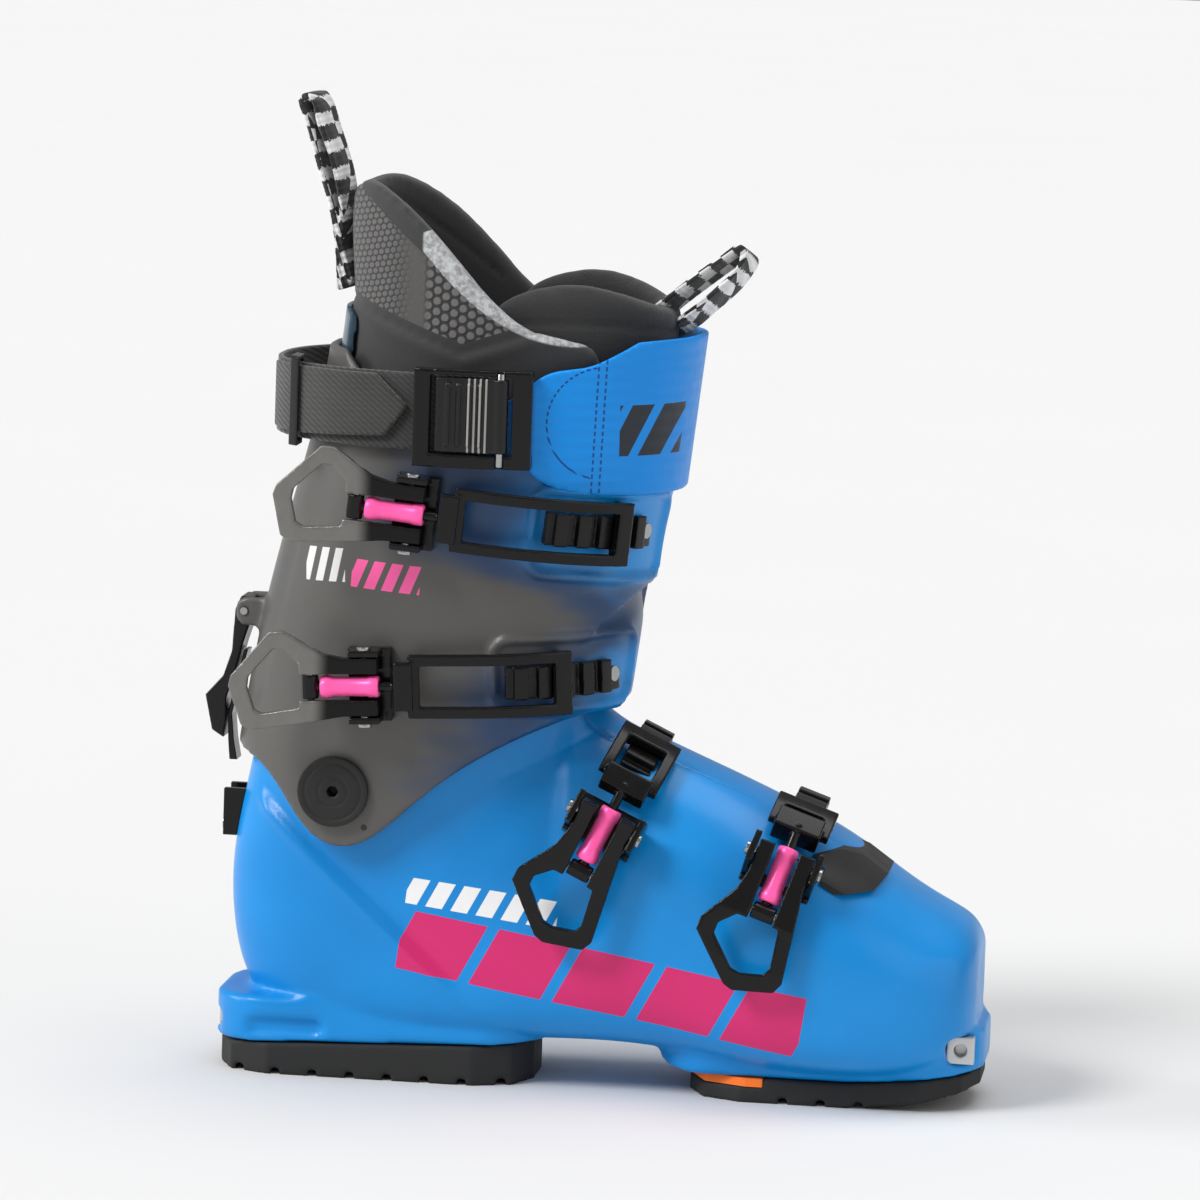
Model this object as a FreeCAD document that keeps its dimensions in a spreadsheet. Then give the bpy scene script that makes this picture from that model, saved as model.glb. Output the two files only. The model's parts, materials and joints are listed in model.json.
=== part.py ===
import FreeCAD, Part
import math
import os

import Sketcher

# A right-foot hybrid ski boot: overlap shell, hinged cuff, four over-centre buckles,
# power strap, walk lock and a removable liner.
# Frame: +X to the toe, +Y to the inner (medial) side, +Z up.  The origin is on the heel
# pad's ground face, straight below the cuff's pivot axis.

V = FreeCAD.Vector
doc = FreeCAD.newDocument("ski_boot")

# ---------------------------------------------------------------- driving dimensions (mm)
SIZES = {
    "heel_back": 50.0, "toe_front": 258.0, "sole_width": 69.0, "heel_breast": 78.0,
    "toe_pad_start": 141.0, "sole_insert_thick": 3.5, "sole_corner": 22.0,
    "tread_depth": 2.6, "tread_groove": 4.0, "tread_pitch": 15.0,
    "pivot_height": 118.0, "shell_wall": 4.5, "cuff_wall": 4.0, "cuff_lean": 12.6,
    "insert_radius": 2.6, "insert_depth": 5.0, "insert_size": 11.0, "insert_height": 25.0,
    "insert_x": 249.0, "insert_deep": 6.0, "screw_radius": 4.0, "screw_head": 2.4,
    "pivot_disc_radius": 14.0, "pivot_disc_thick": 2.6, "pivot_bush_radius": 6.0,
    "pivot_clearance": 0.05, "cuff_half_at_pivot": 49.2, "shell_half_at_pivot": 38.5,
    "nut_radius": 9.0,
    "lever_reach": 54.0, "lever_half": 22.0, "lever_thick": 5.0, "lever_neck": 11.5,
    "slot_half": 5.2, "barrel_radius": 3.9, "barrel_length": 23.0, "rod_radius": 2.0,
    "rod_clearance": 0.05, "link_offset": 21.5, "eye_radius": 3.4, "pin_radius": 1.5,
    "pin_clearance": 0.05, "ear_inner": 11.9, "ear_outer": 14.4, "pin_head": 15.2,
    "hook_half": 12.5, "hook_thick": 3.6, "ladder_half": 6.5, "tooth_pitch": 9.0,
    "strap_level": 268.0, "strap_thick": 2.4, "panel_thick": 3.2, "cam_radius": 1.5,
    "loop_width": 15.0, "loop_thick": 2.6, "walk_width": 15.0, "walk_pin": 1.5,
    "board_length": 262.0, "board_width": 62.0, "board_thick": 5.0,
}
sheet = doc.addObject("Spreadsheet::Sheet", "Sizes")
for row, (alias, value) in enumerate(SIZES.items(), start=1):
    sheet.set(f"A{row}", alias)
    sheet.set(f"B{row}", str(value))
    sheet.setAlias(f"B{row}", alias)
doc.recompute()


def size(alias):
    """The sheet's value of one driving dimension, in millimetres or degrees."""
    return float(sheet.get(alias))


PARTS = []


def keep(obj, label):
    """Name a finished sub-part; the label is its file's name."""
    obj.Label = label
    PARTS.append(obj)
    return obj


def bind(obj, **expressions):
    """Bind properties of an object to sheet expressions."""
    for prop, expression in expressions.items():
        obj.setExpression(prop, expression)


def feature(label, shape):
    """A sub-part whose free-form shape is set directly."""
    obj = doc.addObject("Part::Feature", label)
    obj.Shape = shape
    return keep(obj, label)


# ---------------------------------------------------------------- free-form helpers
SECTION_POLES = 28


def super_power(value, exponent):
    """Signed power, used for the rounded-rectangle outline of a section."""
    return math.copysign(abs(value) ** (2.0 / exponent), value)


def section_poles(near, far, half, near_power, far_power, shift=0.0):
    """Outline in the plane of Y and the line near-far, both (x, z) on the centre plane.

    half is the half-width and shift moves the outline's middle along Y.
    """
    middle = ((near[0] + far[0]) / 2, (near[1] + far[1]) / 2)
    reach = ((near[0] - far[0]) / 2, (near[1] - far[1]) / 2)
    poles = []
    for step in range(SECTION_POLES):
        angle = 2 * math.pi * step / SECTION_POLES
        power = near_power if math.cos(angle) > 0 else far_power
        along = super_power(math.cos(angle), power)
        across = super_power(math.sin(angle), power)
        poles.append(V(middle[0] + reach[0] * along, shift + half * across, middle[1] + reach[1] * along))
    return poles


def skin_solid(sections):
    """Closed solid whose side is one cubic spline surface through lists of section poles."""
    around = len(sections[0])
    along = len(sections)
    surface = Part.BSplineSurface()
    grid = [[sections[j][i] for j in range(along)] for i in range(around)]
    ends = along - 3
    surface.buildFromPolesMultsKnots(
        grid, [1] * (around + 1), [4] + [1] * (ends - 1) + [4],
        list(range(around + 1)), list(range(ends + 1)), True, False, 3, 3)
    side = surface.toShape()
    caps = [Part.Face(Part.Wire([surface.vIso(v).toShape()])) for v in (0, ends)]
    skin = Part.makeShell([side] + caps)
    skin.sewShape(1e-4)
    solid = Part.Solid(Part.Shell(skin.Faces))
    if solid.Volume < 0:
        solid.reverse()
    return solid


def inset(section, wall):
    """The same section moved inwards by a wall thickness on every side."""
    near, far, half, near_power, far_power = section
    length = math.dist(near, far)
    step = ((near[0] - far[0]) / length * wall, (near[1] - far[1]) / length * wall)
    return (
        (near[0] - step[0], near[1] - step[1]),
        (far[0] + step[0], far[1] + step[1]),
        half - wall, near_power, far_power,
    )


def side_prism(points, y_low, y_high, smooth=()):
    """Prism along Y with a side outline of (x, z) points; smooth lists spans drawn as splines."""
    edges = []
    index = 0
    count = len(points)
    while index < count:
        span = next((s for s in smooth if s[0] == index), None)
        last = span[1] if span else index + 1
        run = [V(points[k % count][0], y_low, points[k % count][1]) for k in range(index, last + 1)]
        if span:
            curve = Part.BSplineCurve()
            curve.interpolate(run)
            edges.append(curve.toShape())
        else:
            edges.append(Part.LineSegment(run[0], run[1]).toShape())
        index = last
    face = Part.Face(Part.Wire(edges))
    return face.extrude(V(0, y_high - y_low, 0))


def box(low, high):
    """Axis-aligned box between two corners."""
    return Part.makeBox(high[0] - low[0], high[1] - low[1], high[2] - low[2], V(*low))


def rounded_plan(half_x, half_y, power, centre_x, level):
    """Closed outline in a level plane, as poles."""
    poles = []
    for step in range(SECTION_POLES):
        angle = 2 * math.pi * step / SECTION_POLES
        poles.append(V(
            centre_x + half_x * super_power(math.cos(angle), power),
            half_y * super_power(math.sin(angle), power), level))
    return poles


# ---------------------------------------------------------------- sketch helpers
def new_sketch(body, name, role):
    """An empty sketch on one of the body's own origin planes."""
    sketch = body.newObject("Sketcher::SketchObject", name)
    plane = next(o for o in body.Origin.OriginFeatures if o.Role == role)
    sketch.AttachmentSupport = (plane, [""])
    sketch.MapMode = "FlatFace"
    return sketch


def pin_coordinate(sketch, kind, geometry, value, expression):
    """Fix the start point's X or Y of a line, driven by the sheet."""
    if abs(value) < 1e-6:
        axis = -2 if kind == "DistanceX" else -1
        sketch.addConstraint(Sketcher.Constraint("PointOnObject", geometry, 1, axis))
        return
    index = sketch.addConstraint(Sketcher.Constraint(kind, geometry, 1, value))
    sketch.setExpression(f"Constraints[{index}]", expression)


def add_outline(sketch, points, x_unit, y_unit):
    """Closed polygon whose corners are multiples of two sheet values."""
    first = sketch.GeometryCount
    count = len(points)
    corners = [V(px * size(x_unit), py * size(y_unit), 0) for px, py in points]
    for i in range(count):
        sketch.addGeometry(Part.LineSegment(corners[i], corners[(i + 1) % count]), False)
    for i in range(count):
        sketch.addConstraint(Sketcher.Constraint("Coincident", first + i, 2, first + (i + 1) % count, 1))
    for i, (px, py) in enumerate(points):
        pin_coordinate(sketch, "DistanceX", first + i, corners[i].x, f"Sizes.{x_unit} * {px}")
        pin_coordinate(sketch, "DistanceY", first + i, corners[i].y, f"Sizes.{y_unit} * {py}")


def add_circle(sketch, centre, radius_expression, radius):
    """Circle at a fixed centre with a driven radius."""
    geometry = sketch.addGeometry(Part.Circle(V(centre[0], centre[1], 0), V(0, 0, 1), radius), False)
    sketch.addConstraint(Sketcher.Constraint("DistanceX", geometry, 3, centre[0]) if centre[0]
                         else Sketcher.Constraint("PointOnObject", geometry, 3, -2))
    sketch.addConstraint(Sketcher.Constraint("DistanceY", geometry, 3, centre[1]) if centre[1]
                         else Sketcher.Constraint("PointOnObject", geometry, 3, -1))
    index = sketch.addConstraint(Sketcher.Constraint("Radius", geometry, radius))
    sketch.setExpression(f"Constraints[{index}]", radius_expression)


def pad(body, sketch, expression, midplane=True, backwards=False):
    """Pad a sketch by a driven length."""
    made = body.newObject("PartDesign::Pad", "Pad")
    made.Profile = sketch
    made.Midplane = midplane
    made.Reversed = backwards
    made.setExpression("Length", expression)
    doc.recompute()
    return made


def pocket_through(body, sketch):
    """Pocket a sketch right through, both ways from its plane."""
    made = body.newObject("PartDesign::Pocket", "Pocket")
    made.Profile = sketch
    made.Midplane = True
    made.Type = "ThroughAll"
    before = body.Shape.Volume
    doc.recompute()
    if body.Shape.Volume >= before - 1e-6:
        raise RuntimeError(f"{body.Name}: a pocket removed nothing")
    return made


def primitive(kind, name, placement=None, **expressions):
    """A Part primitive with sheet-driven sizes."""
    obj = doc.addObject(f"Part::{kind}", name)
    bind(obj, **expressions)
    if placement is not None:
        obj.Placement = placement
    return obj


def cut(name, base, tool):
    """Part::Cut of two objects."""
    made = doc.addObject("Part::Cut", name)
    made.Base, made.Tool = base, tool
    return made


def fuse(name, members):
    """Part::MultiFuse of several objects; touching solids join and apart ones stay separate."""
    made = doc.addObject("Part::MultiFuse", name)
    made.Shapes = members
    return made


def toward(point, direction):
    """Placement that puts a primitive's +Z along a direction at a point."""
    return FreeCAD.Placement(V(*point), FreeCAD.Rotation(V(0, 0, 1), V(*direction)))


# ---------------------------------------------------------------- lower shell
WALL = size("shell_wall")
PIVOT_Z = size("pivot_height")
SOLE_HALF = size("sole_width") / 2
WIDE = 400.0

# Each section: top point, bottom point (x, z), half-width, roundness of the top and bottom.
# They stand upright along the foot, then fan about the instep until they lie flat at the ankle.
SHELL_SECTIONS = [
    ((254, 64), (254, 24), 25, 3.0, 2.6),
    ((252, 71), (251, 18), 36, 2.8, 2.8),
    ((245, 76), (243, 15), 43, 2.4, 3.2),
    ((230, 83), (229, 12), 49, 2.3, 3.6),
    ((213, 95), (212, 11), 55, 2.2, 3.8),
    ((195, 107), (194, 11), 57, 2.2, 3.8),
    ((175, 116), (173, 11), 56, 2.2, 3.6),
    ((155, 125), (152, 13), 53, 2.2, 3.4),
    ((138, 132), (134, 16), 50, 2.2, 3.2),
    ((127, 137), (106, 18), 48, 2.2, 3.4),
    ((119, 140), (70, 17), 45, 2.2, 4.2),
    ((112, 143), (33, 17), 43, 2.3, 4.6),
    ((107, 146), (0, 18), 42, 2.3, 4.2),
    ((103, 149), (-36, 22), 41, 2.4, 3.0),
    ((100, 151), (-47, 50), 41.5, 2.4, 2.5),
    ((98, 154), (-49, 86), 43, 2.4, 2.3),
    ((96, 158), (-40.5, 122), 44, 2.4, 2.2),
    ((94.5, 162), (-37.5, 146), 43, 2.4, 2.2),
    ((94, 166), (-35, 168), 42, 2.4, 2.2),
]
SHELL_TOP = 158.0


def sole_plan(x_low, x_high, half, z_low, z_high, corner):
    """Upright block with rounded vertical corners, the plan of the boot's sole."""
    block = box((x_low, -half, z_low), (x_high, half, z_high))
    upright = [e for e in block.Edges if abs(e.Vertexes[0].Z - e.Vertexes[1].Z) > 1]
    return block.makeFillet(corner, upright)


shell_outer = skin_solid([section_poles(*s) for s in SHELL_SECTIONS])
TOE_INSIDE = ((248.0, 62), (247.5, 23), 27, 2.6, 2.8)
inner_sections = [TOE_INSIDE] + [inset(s, WALL) for s in SHELL_SECTIONS[2:]]
inner_sections[-1] = ((89.5, 172), (-30.5, 172), 37.5, 2.4, 2.2)
shell_inner = skin_solid([section_poles(*s) for s in inner_sections])

SOLE_CORNER = size("sole_corner")
heel_block = sole_plan(-size("heel_back"), size("heel_breast") + 4, SOLE_HALF, 10.0, 31.0, SOLE_CORNER)
heel_block = heel_block.cut(side_prism([(-60, 0), (-60, 11.6), (90, 17.5), (90, 0)], -WIDE, WIDE))
toe_block = sole_plan(size("toe_pad_start") - 12, size("toe_front"), SOLE_HALF, 9.0, 33.0, SOLE_CORNER)
toe_block = toe_block.cut(side_prism(
    [(120, 0), (120, 14), (141, 10), (205, 10), (230, 12), (262, 17), (262, 0)], -WIDE, WIDE))
toe_block = toe_block.cut(side_prism([(120, 24), (120, 40), (262, 40), (262, 33), (150, 24)], -WIDE, WIDE))

# A waist groove along each side of the heel block, and across its rear, for binding claws.
heel_groove = box((-35, -SOLE_HALF - 1, 15.5), (-4, -SOLE_HALF + 3.0, 22.5)).fuse([
    box((-35, SOLE_HALF - 3.0, 15.5), (-4, SOLE_HALF + 1, 22.5)), box((-60, -27, 15.5), (-46.5, 27, 22.5))])

# Square pockets, open to the side and to the front, take the touring inserts.
INSERT = size("insert_size")
INSERT_X, INSERT_Z = size("insert_x"), size("insert_height")
INSERT_FACE = 30.5
pocket_floor = INSERT_FACE - size("insert_deep") - 0.2
insert_pockets = [
    box((INSERT_X - INSERT / 2, min(side * pocket_floor, side * 60), INSERT_Z - INSERT / 2),
        (INSERT_X + 20, max(side * pocket_floor, side * 60), INSERT_Z + INSERT / 2))
    for side in (-1, 1)
]
HEEL_INSERT = ((-60.0, -13.0, 15.0), (-42.0, 13.0, 28.0))

shell_shape = shell_outer.fuse([heel_block, toe_block]).cut(heel_groove).cut(shell_inner)
shell_shape = shell_shape.cut(box((-80, -80, SHELL_TOP), (160, 80, 260)))
shell_shape = shell_shape.cut(box(*HEEL_INSERT))
for pocket in insert_pockets:
    shell_shape = shell_shape.cut(pocket)
BUSH = size("pivot_bush_radius")
for side in (-1, 1):
    shell_shape = shell_shape.cut(Part.makeCylinder(BUSH, 30, V(0, side * 30, PIVOT_Z), V(0, side, 0)))
    seat_depth = size("shell_half_at_pivot") - 2.3 - 30
    seat = Part.makeCylinder(size("nut_radius"), seat_depth, V(0, side * 30, PIVOT_Z), V(0, side, 0))
    shell_shape = shell_shape.cut(seat)
feature("lower_shell", shell_shape)
ROOT_SOLID = shell_outer.fuse([heel_block, toe_block])


# ---------------------------------------------------------------- soles, board and inserts
HEEL_SCREWS = [(-25, -16), (-25, 16), (57, -16), (57, 16)]
TOE_SCREWS = [(190, -18), (190, 18), (224, 0)]


def tread_pad(label, side_outline, corner, first_groove, groove_count, screws):
    """Rubber sole pad: a side outline padded across the sole, trimmed to a rounded plan, with grooves."""
    body = doc.addObject("PartDesign::Body", f"{label}_body")
    side_view = new_sketch(body, f"{label}_side", "XZ_Plane")
    length, width = size("toe_front"), size("sole_width")
    add_outline(side_view, [(x / length, z / width) for x, z in side_outline], "toe_front", "sole_width")
    pad(body, side_view, "Sizes.sole_width")
    x_low = min(x for x, z in side_outline)
    x_high = max(x for x, z in side_outline)
    clip = corner * 0.3
    plan_outline = []
    for x_end, y_end in ((x_low, -1), (x_high, -1), (x_high, 1), (x_low, 1)):
        inward = 1 if x_end == x_low else -1
        turn = [(x_end, y_end * (width / 2 - corner)),
                (x_end + inward * clip, y_end * (width / 2 - clip)),
                (x_end + inward * corner, y_end * width / 2)]
        plan_outline += turn if (x_end == x_low) == (y_end < 0) else turn[::-1]
    plan = new_sketch(body, f"{label}_plan", "XY_Plane")
    around = [(x_low - 9, -width), (x_high + 9, -width), (x_high + 9, width), (x_low - 9, width)]
    add_outline(plan, [(x / length, y / width) for x, y in around], "toe_front", "sole_width")
    add_outline(plan, [(x / length, y / width) for x, y in plan_outline], "toe_front", "sole_width")
    pocket_through(body, plan)
    slot = new_sketch(body, f"{label}_groove", "XZ_Plane")
    groove, depth = size("tread_groove"), size("tread_depth")
    corners = [(first_groove, -depth), (first_groove + groove, -depth),
               (first_groove + groove, depth), (first_groove, depth)]
    add_outline(slot, [(x / groove, z / depth) for x, z in corners], "tread_groove", "tread_depth")
    pocket = pocket_through(body, slot)
    pattern = body.newObject("PartDesign::LinearPattern", "Grooves")
    pattern.Originals = [pocket]
    axis = next(o for o in body.Origin.OriginFeatures if o.Role == "X_Axis")
    pattern.Direction = (axis, [""])
    pattern.Occurrences = groove_count
    pattern.setExpression("Length", f"Sizes.tread_pitch * {groove_count - 1}")
    body.Tip = pattern
    doc.recompute()
    wells = new_sketch(body, f"{label}_wells", "XY_Plane")
    for centre in screws:
        add_circle(wells, centre, "Sizes.screw_radius + 0.2", size("screw_radius") + 0.2)
    pocket_through(body, wells)
    return keep(body, label)


HEEL_TOP_REAR, HEEL_TOP_FRONT = 12.0, 17.0
HEEL_PAD_SIDE = [(-48.5, 0), (78, 0), (78, HEEL_TOP_FRONT - 0.4), (-48.5, HEEL_TOP_REAR - 0.4)]
tread_pad("heel_sole_pad", HEEL_PAD_SIDE, 22.0, -40.0, 8, HEEL_SCREWS)
TOE_TOP, INSERT_END = 9.8, 172.0
INSERT_LOW = TOE_TOP - size("sole_insert_thick")
TOE_PAD_SIDE = [(141, 0), (205, 0), (232, 3), (256.5, 9), (256.5, 15.5), (230, 11.8), (205, TOE_TOP),
                (INSERT_END, TOE_TOP), (INSERT_END, INSERT_LOW), (141, INSERT_LOW)]
tread_pad("toe_sole_pad", TOE_PAD_SIDE, SOLE_CORNER, 178.0, 3, TOE_SCREWS)

# A contrasting grip insert lies on the rear of the toe pad and shows along its edges.
grip = doc.addObject("PartDesign::Body", "toe_sole_insert_body")
grip_plan = new_sketch(grip, "toe_sole_insert_plan", "XY_Plane")
GRIP_CORNERS = [(141, -10.5), (148.2, -27.3), (165, -34.5), (INSERT_END - 0.1, -34.5),
                (INSERT_END - 0.1, 34.5), (165, 34.5), (148.2, 27.3), (141, 10.5)]
add_outline(grip_plan, [(x / size("toe_front"), y / size("sole_width")) for x, y in GRIP_CORNERS],
            "toe_front", "sole_width")
pad(grip, grip_plan, "Sizes.sole_insert_thick - 0.1", midplane=False)
grip.Placement = FreeCAD.Placement(V(0, 0, INSERT_LOW + 0.05), FreeCAD.Rotation())
keep(grip, "toe_sole_insert")


# The removable foot bed board lies on the shell's floor under the liner.
board = doc.addObject("PartDesign::Body", "boot_board_body")
board_plan = new_sketch(board, "boot_board_plan", "XY_Plane")
BOARD_OUTLINE = [(-0.1, -0.2), (-0.08, -0.36), (0.3, -0.36), (0.62, -0.48), (0.76, -0.42), (0.83, -0.2),
                 (0.83, 0.2), (0.76, 0.42), (0.62, 0.48), (0.3, 0.36), (-0.08, 0.36), (-0.1, 0.2)]
add_outline(board_plan, BOARD_OUTLINE, "board_length", "board_width")
pad(board, board_plan, "Sizes.board_thick", midplane=False)
board.Placement = FreeCAD.Placement(V(0, 0, 26.5), FreeCAD.Rotation())
board_room = doc.addObject("Part::Feature", "boot_board_room")
board_room.Shape = skin_solid([section_poles(*inset(s, WALL + 0.5)) for s in SHELL_SECTIONS[2:]])
board_trimmed = doc.addObject("Part::Common", "boot_board_trimmed")
board_trimmed.Base, board_trimmed.Tool = board, board_room
doc.recompute()
keep(board_trimmed, "boot_board")


# Steel touring inserts: square plugs with a blind cone socket, one each side of the toe.
plugs = []
for side, tag in ((-1, "outer"), (1, "inner")):
    y_face = side * INSERT_FACE
    y_back = y_face - side * size("insert_deep")
    plug = primitive("Box", f"insert_{tag}", FreeCAD.Placement(
        V(INSERT_X - INSERT / 2 + 0.1, min(y_face, y_back), INSERT_Z - INSERT / 2 + 0.1), FreeCAD.Rotation()),
        Length="Sizes.insert_size - 0.2", Height="Sizes.insert_size - 0.2")
    plug.setExpression("Width", "Sizes.insert_deep")
    socket_floor = (INSERT_X, y_face - side * size("insert_depth"), INSERT_Z)
    socket = primitive("Cylinder", f"socket_{tag}", toward(socket_floor, (0, side, 0)),
                       Radius="Sizes.insert_radius", Height="Sizes.insert_depth + 1")
    plugs.append(cut(f"insert_{tag}_bored", plug, socket))
doc.recompute()
keep(fuse("toe_inserts", plugs), "toe_tech_inserts")

heel_plate = primitive("Box", "heel_plate", FreeCAD.Placement(V(-49.6, -12.8, 15.2), FreeCAD.Rotation()))
heel_plate.Length, heel_plate.Width, heel_plate.Height = 7.4, 25.6, 12.6
heel_slots = [primitive("Box", f"heel_slot_{n}", FreeCAD.Placement(V(-52, y, 14), FreeCAD.Rotation()))
              for n, y in enumerate((-8.6, 5.6))]
for slot in heel_slots:
    slot.Length, slot.Width, slot.Height = 6.5, 3.0, 15.0
keep(cut("heel_insert_cut", heel_plate, fuse("heel_slots", heel_slots)), "heel_tech_insert")

# Sole screws: heads sunk in the pads' round wells, shanks pressed up into the sole blocks.
screws = []
for n, (x, y) in enumerate(HEEL_SCREWS + TOE_SCREWS):
    screws.append(primitive("Cylinder", f"screw_head_{n}", toward((x, y, 4.2), (0, 0, 1)),
                            Radius="Sizes.screw_radius", Height="Sizes.screw_head"))
    screws.append(primitive("Cylinder", f"screw_shank_{n}", toward((x, y, 6.0), (0, 0, 1)),
                            Radius="Sizes.screw_radius * 0.5"))
    screws[-1].Height = 12.0
doc.recompute()
screw_group = fuse("sole_screw_group", screws)
doc.recompute()
keep(screw_group, "sole_screws")


# Toe overlap guard: a moulded trim that closes the front of the overlap on the outer side.
guard_outline = [(189, 101), (199, 102), (207, 99), (217, 92), (213, 88), (198, 87), (192, 91), (194, 96)]
guard = side_prism(guard_outline, -46, 10)
guard_skin = skin_solid([section_poles(*inset(s, -2.2)) for s in SHELL_SECTIONS[1:12]])
guard = guard.common(guard_skin).cut(shell_outer)
feature("toe_overlap_guard", max(guard.Solids, key=lambda solid: solid.Volume))

# ---------------------------------------------------------------- cuff and liner
LEAN = math.radians(size("cuff_lean"))
UP = V(math.sin(LEAN), 0, math.cos(LEAN))
FORWARD = V(math.cos(LEAN), 0, -math.sin(LEAN))


def leaned(up, forward):
    """(x, z) of a point given up and forward of the pivot along the cuff's leaning axes."""
    point = V(0, 0, PIVOT_Z) + UP * up + FORWARD * forward
    return (point.x, point.z)


def leaned_section(up, rear, front, half, power=2.3):
    """One cuff-like section: rear and front are distances forward of the leaning axis."""
    return (leaned(up, front), leaned(up, rear), half, power, power)


CUFF_WALL = size("cuff_wall")
PIVOT_HALF = size("cuff_half_at_pivot")
CUFF_SECTIONS = [leaned_section(*row) for row in (
    (-45, -44, 86, PIVOT_HALF + 1), (-20, -46, 92, PIVOT_HALF + 1), (5, -48.5, 98, PIVOT_HALF + 2),
    (35, -50.5, 101, PIVOT_HALF + 4), (60, -51.5, 100.5, PIVOT_HALF + 6), (95, -51, 96, PIVOT_HALF + 10),
    (130, -49.5, 95, PIVOT_HALF + 12.5), (160, -50, 96, PIVOT_HALF + 13.5), (195, -55, 97, PIVOT_HALF + 14))]
cuff_outer = skin_solid([section_poles(*s) for s in CUFF_SECTIONS])
cuff_inner = skin_solid([section_poles(*inset(s, CUFF_WALL)) for s in CUFF_SECTIONS])

# Side outline: the lower edge runs down round the pivot, the upper edge falls from the spine to the front.
CUFF_OUTLINE = [
    (-75, 129), (-43, 129), (-37, 127), (-20, 112), (-8, 99), (3, 95.5), (14, 99), (23, 106), (41, 122),
    (65, 138), (104, 153.5), (135, 158), (135, 243), (100, 246), (62, 254), (30, 266), (6, 282),
    (-2, 291), (-75, 291)]
cuff_side = side_prism(CUFF_OUTLINE, -WIDE, WIDE, smooth=((2, 10), (14, 17)))
cuff_shape = cuff_outer.cut(cuff_inner).common(cuff_side)
FLAP_SLIT = (16.0, 17.2)
cuff_shape = cuff_shape.cut(box((70, FLAP_SLIT[0], 100), (150, FLAP_SLIT[1], 300)))
for side in (-1, 1):
    bush_hole = Part.makeCylinder(BUSH + size("pivot_clearance"), 40, V(0, side * 30, PIVOT_Z), V(0, side, 0))
    cuff_shape = cuff_shape.cut(bush_hole)
cuff_shape = max(cuff_shape.Solids, key=lambda solid: solid.Volume)
# Two ears on the spine carry the walk lever's pin.
WALK_PIVOT = (-44.5, 182.0)
ear_outline = [(-30, 176), (-45, 176), (-48, 179), (-48, 185), (-45, 187.5), (-30, 187.5)]
ears = side_prism(ear_outline, -11.5, -8).fuse(side_prism(ear_outline, 8, 11.5)).cut(cuff_inner)
ears = ears.cut(Part.makeCylinder(size("walk_pin"), 60, V(WALK_PIVOT[0], -30, WALK_PIVOT[1]), V(0, 1, 0)))
feature("cuff", cuff_shape.fuse(ears))

# Liner: the upper sock moves with the cuff, the foot sock stays in the shell.
LINER_SECTIONS = [leaned_section(*row) for row in (
    (30, -40, 92, 44.5), (60, -42.5, 92, 48), (95, -42.5, 89.5, 52), (130, -41, 88.5, 54.5),
    (160, -41.5, 88, 56), (185, -45.5, 88, 57), (205, -52.5, 87, 57), (222, -57, 86, 56), (250, -60, 84, 55))]
LINER_WALL = 9.0
liner_outer = skin_solid([section_poles(*s) for s in LINER_SECTIONS])
liner_inner = skin_solid([section_poles(*inset(s, LINER_WALL)) for s in LINER_SECTIONS])
LINER_OUTLINE = [
    (-60, 167.5), (78, 167.5), (84, 200), (92, 250), (99, 290), (96, 296), (80, 300), (62, 309), (45, 326),
    (28, 343), (12, 354), (3, 356.5), (-5, 352), (-9, 343), (-60, 343)]
liner_shape = liner_outer.cut(liner_inner).common(side_prism(LINER_OUTLINE, -WIDE, WIDE, smooth=((4, 13),)))
gap_cylinder = Part.makeCylinder(57.5, WIDE, V(0, -WIDE / 2, PIVOT_Z), V(0, 1, 0))
TONGUE_SECTIONS = [leaned_section(*row) for row in (
    (30, -30, 89, 34), (60, -32, 89, 38), (95, -32, 88, 42), (130, -31, 87.5, 44.5), (160, -31, 86.5, 46),
    (190, -34, 84, 47), (215, -40, 80, 46.5), (240, -45, 78, 46))]
tongue_room = skin_solid([section_poles(*inset(s, -0.4)) for s in TONGUE_SECTIONS])
throat = side_prism([(60, 150), (150, 150), (150, 330), (72, 330)], -26, 26)
liner_shape = liner_shape.cut(gap_cylinder).cut(tongue_room).cut(throat)
feature("liner_cuff", max(liner_shape.Solids, key=lambda solid: solid.Volume))

tongue_outer = skin_solid([section_poles(*s) for s in TONGUE_SECTIONS])
tongue_inner = skin_solid([section_poles(*inset(s, 8.0)) for s in TONGUE_SECTIONS])
TONGUE_OUTLINE = [
    (62, 170), (140, 170), (150, 300), (136, 302), (121, 309), (107, 316), (92, 320), (76, 319), (62, 313),
    (52, 296), (50, 220)]
tongue_side = side_prism(TONGUE_OUTLINE, -WIDE, WIDE, smooth=((3, 9),))
tongue_shape = tongue_outer.cut(tongue_inner).common(tongue_side)
feature("tongue", max(tongue_shape.Solids, key=lambda solid: solid.Volume))

# The foot sock follows the shell's inside with a small gap; its hollow takes the foot.
foot_sections = [inset(TOE_INSIDE, 0.8)] + [inset(s, WALL + 0.8) for s in SHELL_SECTIONS[2:]]
foot_hollow_sections = [inset(s, WALL + 5.5) for s in SHELL_SECTIONS[2:]]
foot_hollow_sections[-1] = ((86, 176), (-26, 176), 33, 2.4, 2.2)
foot_outer = skin_solid([section_poles(*s) for s in foot_sections])
foot_inner = skin_solid([section_poles(*s) for s in foot_hollow_sections])
foot_shape = foot_outer.cut(foot_inner).cut(box((-80, -80, 157), (160, 80, 260)))
foot_shape = foot_shape.cut(box((-60, -60, 0), (260, 60, 32.2)))
for side in (-1, 1):
    recess = Part.makeCylinder(size("nut_radius") + 0.6, 20, V(0, side * 33.5, PIVOT_Z), V(0, side, 0))
    foot_shape = foot_shape.cut(recess)
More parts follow.
